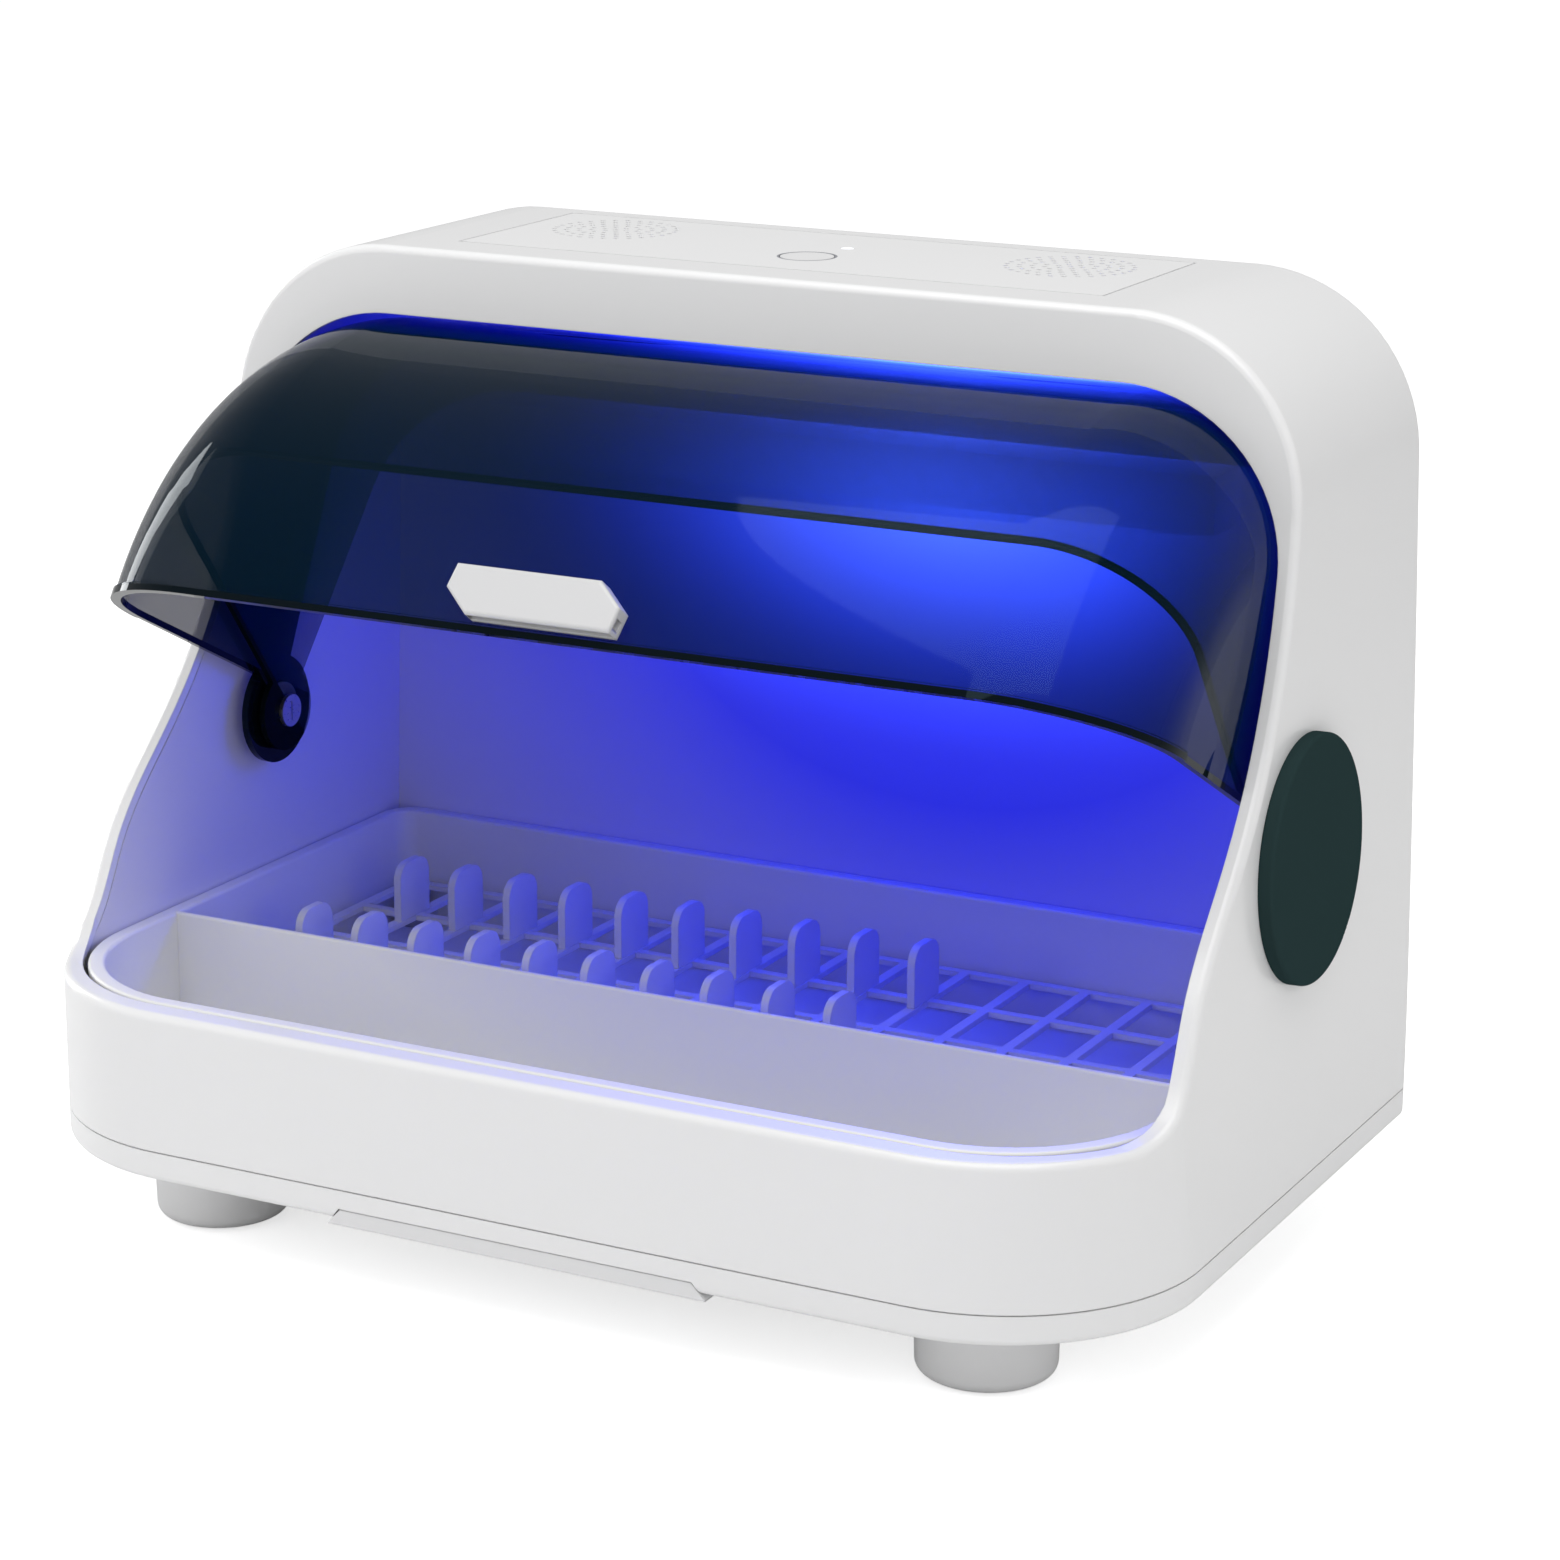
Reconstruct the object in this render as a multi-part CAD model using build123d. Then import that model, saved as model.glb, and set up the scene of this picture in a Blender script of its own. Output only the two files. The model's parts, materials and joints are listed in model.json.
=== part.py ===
from build123d import *
import math
import os

# A countertop box that dries and sterilises chopsticks and dishes under a lamp.
# Millimetres. +X right, +Y back, +Z up. The origin is on the table, under the middle of the box.

# Overall sizes of the housing
WIDTH = 420.0
DEPTH = 265.0
SHELL_HEIGHT = 285.5
PAN_DEPTH = 10.6
FOOT_HEIGHT = 28.0
SIDE_LEAN = 8.7
FRONT_CORNER = 70.0
REAR_CORNER = 7.0
TOP_CORNER = 61.0

# Side profile of the shell, as distance behind the front face and height above the seam
RIM_HEIGHT = 49.0
RIM_FLAT = 36.0
HOOD_FOOT = (69.0, 83.0)
HOOD_WAIST = (100.0, 118.5)
HOOD_CHEST = (126.0, 151.5)
HOOD_SHOULDER = (145.5, 196.0)
HOOD_EDGE = (154.3, 261.8)
HOOD_TOP = (155.5, 285.5)

# Clearances and screws
FIT_GAP = 0.3
RUN_GAP = 0.06
SEAM_GAP = 0.4
SCREW_RADIUS = 1.5
SCREW_HEAD_RADIUS = 2.9
SCREW_HEAD_HEIGHT = 1.6

# Shell, with the front opening and the ledge under the top panel
SHELL_WALL = 2.6
FRONT_BAND = 9.0
SIDE_BAND = 6.0
TOP_BAND = 23.7
OPENING_CORNER = 58.0
HOOD_ROUND = 2.8
PANEL_LEDGE = 3.5
PANEL_LEDGE_THICKNESS = 2.0

# Back cover, its screws, air slots and power inlet
COVER_SIDE_INSET = 45.0
COVER_LOW = 30.0
COVER_TOP_INSET = 35.5
COVER_LAP = 8.0
COVER_CORNER = 14.0
COVER_THICKNESS = 2.0
COVER_SCREW_INSET = 12.0
SLOT_ROWS = 6
SLOT_FIRST_HEIGHT = 60.0
SLOT_PITCH = 7.0
SLOT_WIDTH = 2.2
SLOT_LENGTH = 120.0
INLET_SIDE_INSET = 85.0
INLET_UP = 48.0
INLET_WIDTH = 20.0
INLET_HEIGHT = 14.0
INLET_LENGTH = 8.0
INLET_WALL = 1.6
INLET_PIN_RADIUS = 1.4

# Liner of the cabin
LINER_WALL = 2.0
LINER_AIR_GAP = 6.0
LINER_FRONT = 52.0
LINER_LOW = 40.0
BOSS_RADIUS = 4.5
FAN_PORT_RADIUS = 26.0

# Tub with its trough, basin and drain slots
TUB_WALL = 2.4
TUB_RIM = 6.0
TUB_RIM_THICKNESS = 3.0
TUB_RIM_PROUD = 0.6
TUB_LIP_ROUND = 1.2
TUB_DIVIDER_ROUND = 1.0
TUB_FLOOR = 4.0
TUB_SIDE_GAP = 1.6
TUB_BOSS_LOW = -6.0
TUB_SCREW_SIDE_INSET = 100.0
TUB_SCREW_END_INSET = 36.5
DIVIDER_Y = 95.0
DRAIN_SLOTS = 9
DRAIN_PITCH = 9.0
DRAIN_WIDTH = 3.0
DRAIN_LENGTH = 36.0

# Rack for dishes
RACK_LIFT = 14.0
RACK_THICKNESS = 2.0
RACK_SIDE_GAP = 3.0
RACK_END_GAP = 2.0
RACK_BAR = 4.0
RACK_ROWS = 4
RACK_COLUMNS = 16
RACK_FOOT_RADIUS = 5.0
FIN_COUNT = 10
FIN_HEIGHT = 22.0
FIN_THICKNESS = 3.0
FIN_LENGTH = 20.0
FIN_FRONT = 30.0
FIN_ROW_PITCH = 66.0

# Grate in the chopstick trough
GRATE_THICKNESS = 1.6
GRATE_LIFT = 3.0
GRATE_GAP = 1.5
GRATE_SLOTS = 21
GRATE_SLOT_WIDTH = 5.0
GRATE_BORDER = 8.0

# Base pan
PAN_WALL = 2.8
PAN_BOTTOM_ROUND = 2.4
TONGUE_HEIGHT = 4.0
TONGUE_WALL = 2.0
PAN_DRAIN_LENGTH = 80.0
PAN_DRAIN_WIDTH = 60.0

# Drip tray, its pull and its rails
TRAY_WIDTH = 126.0
TRAY_FRONT = 38.0
TRAY_LENGTH = 196.0
TRAY_WALL = 1.8
TRAY_HEIGHT = 9.2
TRAY_FLANGE = 4.0
APRON_FRONT = 8.0
PULL_WIDTH = 132.0
PULL_HEIGHT = 3.4
PULL_SLANT = 5.0
PULL_DEPTH = 9.0
RAIL_WIDTH = 9.0
RAIL_THICKNESS = 1.6
RAIL_LIP_GAP = 0.6
RAIL_SCREW_INSET = 20.0

# Feet
FOOT_RADIUS = 23.6
FOOT_TAPER = 0.6
FOOT_EDGE_ROUND = 4.0
FOOT_INSET_X = 63.4
FOOT_INSET_Y = 48.7
FOOT_SCREW_SINK = 9.0
FOOT_PAD_LIFT = 0.6
FOOT_PAD_THICKNESS = 1.5
FOOT_PAD_RADIUS = 17.0

# Top panel with its two fields of vent holes, the button and the indicator
PANEL_HALF_WIDTH = 123.0
PANEL_FRONT = 177.0
PANEL_BACK_INSET = 9.0
PANEL_THICKNESS = 2.0
PANEL_GAP = 0.6
VENT_X = 89.0
VENT_BACK_INSET = 37.0
VENT_HOLE_RADIUS = 0.9
VENT_PITCH = 4.4
VENT_RINGS = 5
BUTTON_AHEAD = 11.5
BUTTON_RADIUS = 9.4
BUTTON_TRAVEL = 1.2
BUTTON_STEM_RADIUS = 3.0
BUTTON_CAP_THICKNESS = 2.2
BUTTON_FLANGE_RADIUS = 10.6
BUTTON_FLANGE_THICKNESS = 1.0
SPRING_RADIUS = 5.4
SPRING_WIRE = 0.35
SPRING_PITCH = 1.9
INDICATOR_X = 4.0
INDICATOR_BEHIND_BUTTON = 23.0
INDICATOR_RADIUS = 2.2
INDICATOR_FLANGE = 0.8

# Control board under the button
BOARD_LENGTH = 90.0
BOARD_WIDTH = 42.0
BOARD_THICKNESS = 1.6
BOARD_DROP = 14.0
BOARD_SHIFT = 10.0
SWITCH_SIZE = 6.0
SWITCH_HEIGHT = 3.0
CHIP_X = 26.0
CHIP_SIZE = 12.0
CHIP_HEIGHT = 2.0
PLUG_WIDTH = 9.0
PLUG_LENGTH = 16.0
PLUG_HEIGHT = 5.0
STANDOFF_RADIUS = 2.6
STANDOFF_INSET = 5.0

# Fans in the top compartment
FAN_SIZE = 60.0
FAN_DEPTH = 12.0
FAN_SHIFT = 6.0
FAN_BORE_RADIUS = 27.5
FAN_HUB_RADIUS = 12.0
FAN_BLADES = 7
FAN_BLADE_THICKNESS = 1.2
FAN_BLADE_TILT = 38.0
FAN_TIP_GAP = 0.8
FAN_CORNER = 4.0
FAN_SCREW_INSET = 5.0
FAN_STRUT = 4.0
FAN_STRUT_THICKNESS = 1.6
FAN_SHAFT_RADIUS = 1.5

# Lamp, its reflector and sockets on the back wall, and its driver behind the liner
LAMP_DEPTH = 24.0
LAMP_WALL = 1.6
LAMP_TOP_GAP = 0.5
LAMP_BACK_HEIGHT = 27.8
LAMP_FRONT_HEIGHT = 20.5
TUBE_RADIUS = 6.0
TUBE_LENGTH = 240.0
TUBE_CAP_LENGTH = 9.0
TUBE_BACK = 12.0
TUBE_DROP = 14.3
SOCKET_WIDTH = 12.0
SOCKET_SIZE = 16.0
DRIVER_LENGTH = 60.0
DRIVER_HEIGHT = 40.0
DRIVER_UP = 120.0
DRIVER_PART_HEIGHT = 2.4

# Visor, placed by its hinge axis
HINGE_BACK = 158.6
HINGE_UP = 110.8
VISOR_TOP_GAP = 4.0
VISOR_SIDE_GAP = 2.0
VISOR_CORNER = 52.0
VISOR_WALL = 2.6
VISOR_LIP_ANGLE = -59.4
VISOR_REAR_ANGLE = 25.0
VISOR_EDGE_RISE = 8.0
VISOR_HUB_RADIUS = 20.0
BEAD_HEIGHT = 1.0
BEAD_LENGTH = 3.0

# Fixed window inside the visor
WINDOW_GAP = 2.2
WINDOW_SIDE_GAP = 1.8
WINDOW_BACK_GAP = 2.7
WINDOW_WALL = 2.2
WINDOW_LIP_ANGLE = -36.0
WINDOW_HUB_RADIUS = 15.0

# Hinge pins, bushes and caps
PIN_RADIUS = 6.0
PIN_END_RADIUS = 4.5
PIN_FLANGE_RADIUS = 13.0
PIN_FLANGE_THICKNESS = 1.8
PIN_OUTER_GAP = 0.7
BUSH_RADIUS = 10.0
CAP_RADIUS = 41.5
CAP_STAND_OUT = 5.0
CAP_EDGE_ROUND = 1.2
CAP_WALL = 1.8
CAP_RING_RADIUS = 20.0

# Handle on the visor
HANDLE_X = -9.0
HANDLE_WIDTH = 64.0
HANDLE_HEIGHT = 17.0
HANDLE_REACH = 7.0
HANDLE_ABOVE_LIP = 3.6
HANDLE_TAPER = 5.5
HANDLE_SKEW = 4.0
HANDLE_ROUND = 1.2
HANDLE_WALL = 1.8
HANDLE_SCREW_X = 18.0

# Worked-out places
SEAM_Z = FOOT_HEIGHT + PAN_DEPTH
FRONT_Y = -DEPTH / 2
BACK_Y = DEPTH / 2
HALF_WIDTH = WIDTH / 2
COVER_HALF_WIDTH = HALF_WIDTH - COVER_SIDE_INSET
COVER_HIGH = SHELL_HEIGHT - COVER_TOP_INSET
INLET_X = HALF_WIDTH - INLET_SIDE_INSET
TUB_SCREW_X = HALF_WIDTH - TUB_SCREW_SIDE_INSET
TUB_SCREW_Y = DEPTH / 2 - TUB_SCREW_END_INSET
FOOT_X = HALF_WIDTH - FOOT_INSET_X
TOP_Z = SEAM_Z + SHELL_HEIGHT
HINGE_Y = FRONT_Y + HINGE_BACK
HINGE_Z = SEAM_Z + HINGE_UP
LEAN_RATE = SIDE_LEAN / SHELL_HEIGHT
RIM_Z = SEAM_Z + RIM_HEIGHT
LINER_INSET = SIDE_BAND - LINER_WALL
CEILING_Z = TOP_Z - TOP_BAND
LINER_BACK = DEPTH - SHELL_WALL - COVER_THICKNESS - LINER_AIR_GAP
PANEL_BACK = DEPTH - PANEL_BACK_INSET
BUTTON_Y = (PANEL_FRONT + PANEL_BACK) / 2 - BUTTON_AHEAD
VENT_Y = DEPTH - VENT_BACK_INSET
FAN_Y = VENT_Y - FAN_SHIFT
SCREW_SINK_RADIUS = SCREW_HEAD_RADIUS + FIT_GAP
TUB_SIDE = SIDE_BAND + FIT_GAP + TUB_SIDE_GAP
RACK_FRONT = DIVIDER_Y + TUB_WALL + RACK_END_GAP
RACK_BACK = LINER_BACK - LINER_WALL - FIT_GAP - TUB_RIM - RACK_END_GAP
VISOR_RADIUS = SHELL_HEIGHT - TOP_BAND - VISOR_TOP_GAP - HINGE_UP
VISOR_SHOULDER = HINGE_UP + VISOR_RADIUS - VISOR_CORNER
VISOR_HALF_WIDTH = HALF_WIDTH - SIDE_BAND - LEAN_RATE * VISOR_SHOULDER - VISOR_SIDE_GAP
VISOR_TILT = math.degrees(math.asin(VISOR_EDGE_RISE / VISOR_RADIUS))
WINDOW_RADIUS = VISOR_RADIUS - VISOR_WALL - WINDOW_GAP
WINDOW_CORNER = VISOR_CORNER - VISOR_WALL - WINDOW_GAP
WINDOW_HALF_WIDTH = VISOR_HALF_WIDTH - VISOR_WALL - WINDOW_SIDE_GAP
WINDOW_REACH = LINER_BACK - LINER_WALL - WINDOW_BACK_GAP - HINGE_BACK
WINDOW_REAR_ANGLE = math.degrees(math.asin(WINDOW_REACH / WINDOW_RADIUS))
WINDOW_REAR_UP = (WINDOW_RADIUS - WINDOW_WALL) * math.cos(math.radians(WINDOW_REAR_ANGLE))
LAMP_TOP = HINGE_UP + WINDOW_REAR_UP - LAMP_TOP_GAP
LAMP_HALF_LENGTH = WINDOW_HALF_WIDTH - WINDOW_CORNER
BOARD_TOP = TOP_Z - BOARD_DROP + BOARD_THICKNESS
SWITCH_TOP = BOARD_TOP + SWITCH_HEIGHT


def front_y(distance):
    """Y of a place given as a distance behind the front face."""
    return FRONT_Y + distance


def seam_z(height):
    """Z of a place given as a height above the seam."""
    return SEAM_Z + height


def half_width_at(height, inset=0.0):
    """Half width of the leaning housing at a height above the seam."""
    return HALF_WIDTH - inset - LEAN_RATE * height


def rounded_box(half_x, front, back, front_radius, rear_radius, low, high):
    """A block with rounded upright corners."""
    block = Pos(0, (front + back) / 2, (low + high) / 2) * Box(2 * half_x, back - front, high - low)
    upright = block.edges().filter_by(Axis.Z)
    ordered = upright.sort_by(Axis.Y)
    block = fillet(ordered[:2], front_radius)
    upright = block.edges().filter_by(Axis.Z).sort_by(Axis.Y)
    return fillet(upright[-2:], rear_radius)


def front_prism(side_inset, top_inset, corner, low, front, back):
    """The leaning front outline of the housing, drawn along Y."""
    foot = HALF_WIDTH - side_inset
    head = half_width_at(SHELL_HEIGHT - top_inset, side_inset)
    drop = (SEAM_Z - low) * LEAN_RATE
    top = TOP_Z - top_inset
    outline = [(-foot - drop, low), (foot + drop, low), (head, top), (-head, top)]
    face = make_face(Polyline(*outline, close=True))
    tops = face.vertices().sort_by(Axis.Y)[-2:]
    face = fillet(tops, corner)
    return extrude(Plane.XZ.offset(-back) * face, amount=back - front)


def profile_prism(inset, low):
    """Everything behind the side profile of the shell, drawn along X."""
    points = [HOOD_FOOT, HOOD_WAIST, HOOD_CHEST, HOOD_SHOULDER, HOOD_EDGE]
    start = (RIM_FLAT, RIM_HEIGHT)
    shift = [(front_y(y + inset), seam_z(z - inset)) for y, z in [start] + points]
    rise = (HOOD_TOP[0] - HOOD_EDGE[0], HOOD_TOP[1] - HOOD_EDGE[1])
    curve = Spline(*shift, tangents=[(1, 0.05), rise])
    front = FRONT_Y - WIDTH
    back = BACK_Y + WIDTH
    slope = rise[0] / rise[1]
    high = TOP_Z + WIDTH
    high_y = shift[-1][0] + slope * (high - shift[-1][1])
    rest = Polyline(
        shift[-1], (high_y, high), (back, high), (back, low), (front, low), (front, shift[0][1]), shift[0]
    )
    face = make_face(curve + rest)
    return extrude(Plane.YZ.offset(-WIDTH) * face, amount=2 * WIDTH)


def housing_form(inset, low):
    """The outer form of the shell, moved inwards by inset."""
    outline = front_prism(inset, inset, TOP_CORNER - inset, low, FRONT_Y - DEPTH, BACK_Y + DEPTH)
    plan = rounded_box(
        HALF_WIDTH - inset,
        FRONT_Y + inset,
        BACK_Y - inset,
        FRONT_CORNER - inset,
        REAR_CORNER - inset,
        low,
        TOP_Z + DEPTH,
    )
    return outline & plan & profile_prism(inset, low)


def opening_form(side_inset, front_inset, top_inset, corner, low, back):
    """The space inside the front opening, from a front inset back to a Y."""
    outline = front_prism(side_inset, top_inset, corner, low, FRONT_Y - DEPTH, back)
    plan = rounded_box(
        HALF_WIDTH - side_inset,
        FRONT_Y + front_inset,
        BACK_Y + DEPTH,
        FRONT_CORNER - front_inset,
        REAR_CORNER,
        low,
        TOP_Z,
    )
    return outline & plan


def slab(x0, x1, y0, y1, z0, z1):
    """A plain block between two corners."""
    return Pos((x0 + x1) / 2, (y0 + y1) / 2, (z0 + z1) / 2) * Box(x1 - x0, y1 - y0, z1 - z0)


def post(x, y, radius, low, high):
    """An upright round post."""
    return Pos(x, y, (low + high) / 2) * Cylinder(radius, high - low)


def cross_pin(radius, x0, x1):
    """A round bar along X on the hinge axis."""
    return Pos((x0 + x1) / 2, HINGE_Y, HINGE_Z) * Rot(0, 90, 0) * Cylinder(radius, abs(x1 - x0))


def screw(length, head_radius=SCREW_HEAD_RADIUS):
    """A screw whose head sits on z = 0 and whose shank points down."""
    head = Pos(0, 0, SCREW_HEAD_HEIGHT / 2) * Cylinder(head_radius, SCREW_HEAD_HEIGHT)
    slot = Pos(0, 0, SCREW_HEAD_HEIGHT) * Box(1.2 * head_radius, SCREW_HEAD_HEIGHT / 3, SCREW_HEAD_HEIGHT)
    shank = Pos(0, 0, -length / 2) * Cylinder(SCREW_RADIUS, length)
    return head - slot + shank


# Housing ---------------------------------------------------------------------------------------


def panel_outline(grow, low, high):
    """A block the size of the top panel, made larger by grow."""
    return slab(
        -PANEL_HALF_WIDTH - grow,
        PANEL_HALF_WIDTH + grow,
        front_y(PANEL_FRONT) - grow,
        front_y(PANEL_BACK) + grow,
        low,
        high,
    )


def cover_block(grow, near, far):
    """A block with rounded corners the size of the back opening, between two Y values."""
    width = 2 * (COVER_HALF_WIDTH + grow)
    height = COVER_HIGH - COVER_LOW + 2 * grow
    face = Plane.XZ.offset(-near) * Pos(0, seam_z((COVER_LOW + COVER_HIGH) / 2)) * RectangleRounded(
        width, height, COVER_CORNER
    )
    return extrude(face, amount=near - far)


def hood_edges(form):
    """The edges round the faces of the housing form that look to the front over the rim."""
    edges = []
    for face in form.faces():
        box = face.bounding_box()
        over_rim = box.max.Z > RIM_Z - FIT_GAP and box.min.Z > SEAM_Z + FRONT_BAND
        if over_rim and abs(face.normal_at(face.center()).X) < RUN_GAP and box.max.Y < BACK_Y - FIT_GAP:
            edges += face.edges()
    return edges


def outer_shell():
    """The white outer shell with its front, top and back openings."""
    outer = housing_form(0, SEAM_Z)
    outer = outer.fillet(HOOD_ROUND, hood_edges(outer))
    shell = outer - housing_form(SHELL_WALL, SEAM_Z - SHELL_WALL)
    back_of_hood = front_y(HOOD_TOP[0] + TOP_BAND)
    shell -= opening_form(
        SIDE_BAND, FRONT_BAND, TOP_BAND, OPENING_CORNER, RIM_Z - FRONT_BAND, back_of_hood
    )
    ledge_low = TOP_Z - PANEL_THICKNESS - PANEL_LEDGE_THICKNESS
    shell += panel_outline(PANEL_LEDGE, ledge_low, TOP_Z - SHELL_WALL)
    shell -= panel_outline(PANEL_GAP, TOP_Z - PANEL_THICKNESS, TOP_Z + PANEL_THICKNESS)
    shell -= panel_outline(-PANEL_LEDGE, ledge_low - PANEL_THICKNESS, TOP_Z)
    shell -= cover_block(0, BACK_Y - SHELL_WALL - COVER_THICKNESS, BACK_Y + SHELL_WALL)
    shell -= cross_pin(PIN_RADIUS + FIT_GAP, -WIDTH, WIDTH)
    return shell


def back_cover():
    """The cover that closes the back from inside, with its intake slots and inlet hole."""
    inner_face = BACK_Y - SHELL_WALL
    cover = cover_block(COVER_LAP, inner_face - COVER_THICKNESS, inner_face)
    cover += cover_block(-FIT_GAP, inner_face, BACK_Y - FIT_GAP)
    for x, z in cover_screw_places():
        place = Pos(x, BACK_Y, z) * Rot(90, 0, 0)
        cover -= place * Cylinder(SCREW_RADIUS + FIT_GAP, 4 * SHELL_WALL)
        cover -= place * Cylinder(SCREW_SINK_RADIUS, 2 * (SHELL_WALL + FIT_GAP))
    for row in range(SLOT_ROWS):
        z = seam_z(SLOT_FIRST_HEIGHT + row * SLOT_PITCH)
        cover -= Pos(0, BACK_Y, z) * Box(SLOT_LENGTH, 6 * SHELL_WALL, SLOT_WIDTH)
    cover -= inlet_block(FIT_GAP, INLET_LENGTH)
    return cover


def cover_screw_places():
    """X and Z of the four screws of the back cover."""
    x = COVER_HALF_WIDTH - COVER_SCREW_INSET
    low = seam_z(COVER_LOW + COVER_SCREW_INSET)
    high = seam_z(COVER_HIGH - COVER_SCREW_INSET)
    return [(-x, low), (x, low), (-x, high), (x, high)]


def inlet_block(grow, length):
    """The outside of the power inlet."""
    return slab(
        INLET_X - INLET_WIDTH / 2 - grow,
        INLET_X + INLET_WIDTH / 2 + grow,
        BACK_Y - FIT_GAP - length,
        BACK_Y - FIT_GAP,
        seam_z(INLET_UP) - INLET_HEIGHT / 2 - grow,
        seam_z(INLET_UP) + INLET_HEIGHT / 2 + grow,
    )


def power_inlet():
    """The socket in the back cover, with its two contact pins."""
    body = inlet_block(0, INLET_LENGTH)
    mouth = slab(
        INLET_X - INLET_WIDTH / 2 + INLET_WALL,
        INLET_X + INLET_WIDTH / 2 - INLET_WALL,
        BACK_Y - INLET_LENGTH + INLET_WALL,
        BACK_Y,
        seam_z(INLET_UP) - INLET_HEIGHT / 2 + INLET_WALL,
        seam_z(INLET_UP) + INLET_HEIGHT / 2 - INLET_WALL,
    )
    body -= mouth
    pin_length = INLET_LENGTH - 2 * INLET_WALL
    for side in (-1, 1):
        x = INLET_X + side * INLET_WIDTH / 5
        place = Pos(x, BACK_Y - INLET_LENGTH + pin_length / 2, seam_z(INLET_UP))
        body += place * Rot(90, 0, 0) * Cylinder(INLET_PIN_RADIUS, pin_length)
    return body


def back_screws():
    """Four screws that hold the back cover to the liner."""
    sink = BACK_Y - SHELL_WALL - FIT_GAP
    length = sink - (front_y(LINER_BACK) + FIT_GAP)
    return [Pos(x, sink, z) * Rot(-90, 0, 0) * screw(length) for x, z in cover_screw_places()]


# Liner, tub and rack ---------------------------------------------------------------------------


def inner_liner():
    """The thin inner wall of the cabin: two sides, ceiling and back, open at the front."""
    low = seam_z(LINER_LOW)
    inner_back = front_y(LINER_BACK - LINER_WALL)
    outer_corner = OPENING_CORNER + LINER_WALL
    liner = front_prism(
        LINER_INSET, TOP_BAND - LINER_WALL, outer_corner, low, FRONT_Y - DEPTH, front_y(LINER_BACK)
    )
    hollow = front_prism(
        SIDE_BAND, TOP_BAND, OPENING_CORNER, low - LINER_WALL, FRONT_Y - 2 * DEPTH, inner_back
    )
    liner -= hollow
    liner &= profile_prism(SHELL_WALL + FIT_GAP, low - LINER_WALL)
    liner &= slab(-WIDTH, WIDTH, front_y(LINER_FRONT), BACK_Y, low, TOP_Z)
    boss_end = BACK_Y - SHELL_WALL - COVER_THICKNESS
    for x, z in cover_screw_places():
        depth = boss_end - front_y(LINER_BACK)
        place = Pos(x, front_y(LINER_BACK) + depth / 2, z) * Rot(90, 0, 0)
        liner += place * Cylinder(BOSS_RADIUS, depth)
        liner -= place * Cylinder(SCREW_RADIUS, depth)
    liner -= cross_pin(PIN_RADIUS + FIT_GAP, -WIDTH, WIDTH)
    for side in (-1, 1):
        liner -= post(side * VENT_X, front_y(FAN_Y), FAN_PORT_RADIUS, CEILING_Z - LINER_WALL, TOP_Z)
    return liner


def tub_block(inset, low, high):
    """A block the size of the tub's rim, moved inwards by inset."""
    side = TUB_SIDE + inset
    return rounded_box(
        HALF_WIDTH - side,
        FRONT_Y + FRONT_BAND + FIT_GAP + inset,
        front_y(LINER_BACK - LINER_WALL) - FIT_GAP - inset,
        FRONT_CORNER - FRONT_BAND - inset,
        REAR_CORNER + TUB_RIM - inset,
        low,
        high,
    )


def inner_tub():
    """The tub inside the base: chopstick trough in front, dish basin behind, one divider."""
    top = RIM_Z + TUB_RIM_PROUD
    floor = seam_z(TUB_FLOOR)
    rim = tub_block(0, top - TUB_RIM_THICKNESS, top)
    body = tub_block(TUB_RIM - TUB_WALL, floor, top - TUB_RIM_THICKNESS)
    hollow = tub_block(TUB_RIM, floor + TUB_WALL, top + TUB_RIM)
    tub = rim + body - hollow
    rim_edges = tub.faces().sort_by(Axis.Z)[-1].edges()
    tub = fillet(rim_edges, TUB_LIP_ROUND)
    wall = slab(
        TUB_SIDE + TUB_RIM - TUB_WALL / 2 - HALF_WIDTH,
        HALF_WIDTH - TUB_SIDE - TUB_RIM + TUB_WALL / 2,
        front_y(DIVIDER_Y),
        front_y(DIVIDER_Y) + TUB_WALL,
        floor,
        top,
    )
    wall = fillet(wall.edges().filter_by(Axis.X).sort_by(Axis.Z)[-2:], TUB_DIVIDER_ROUND)
    tub += wall
    for index in range(DRAIN_SLOTS):
        x = (index - (DRAIN_SLOTS - 1) / 2) * DRAIN_PITCH
        for y in ((DIVIDER_Y + FRONT_BAND + TUB_RIM) / 2, (RACK_FRONT + RACK_BACK) / 2):
            tub -= Pos(x, front_y(y), floor) * Box(DRAIN_WIDTH, DRAIN_LENGTH, 4 * TUB_WALL)
    for x, y in tub_screw_places():
        tub += post(x, y, BOSS_RADIUS, seam_z(TUB_BOSS_LOW), floor + TUB_WALL / 2)
        tub -= post(x, y, SCREW_RADIUS, seam_z(TUB_BOSS_LOW), floor + TUB_WALL / 2)
    return tub


def tub_screw_places():
    """X and Y of the four screws that hold the tub to the pan."""
    return [(x, y) for x in (-TUB_SCREW_X, TUB_SCREW_X) for y in (-TUB_SCREW_Y, TUB_SCREW_Y)]


def rack_half_width():
    """Half width of the dish rack."""
    return HALF_WIDTH - TUB_SIDE - TUB_RIM - RACK_SIDE_GAP


def rack_pitch():
    """Distance between the middles of neighbouring bars of the rack."""
    return (2 * rack_half_width() - RACK_BAR) / RACK_COLUMNS


def rack_top():
    """Height of the rack's upper face."""
    return seam_z(TUB_FLOOR + TUB_WALL + RACK_LIFT + RACK_THICKNESS)


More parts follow.
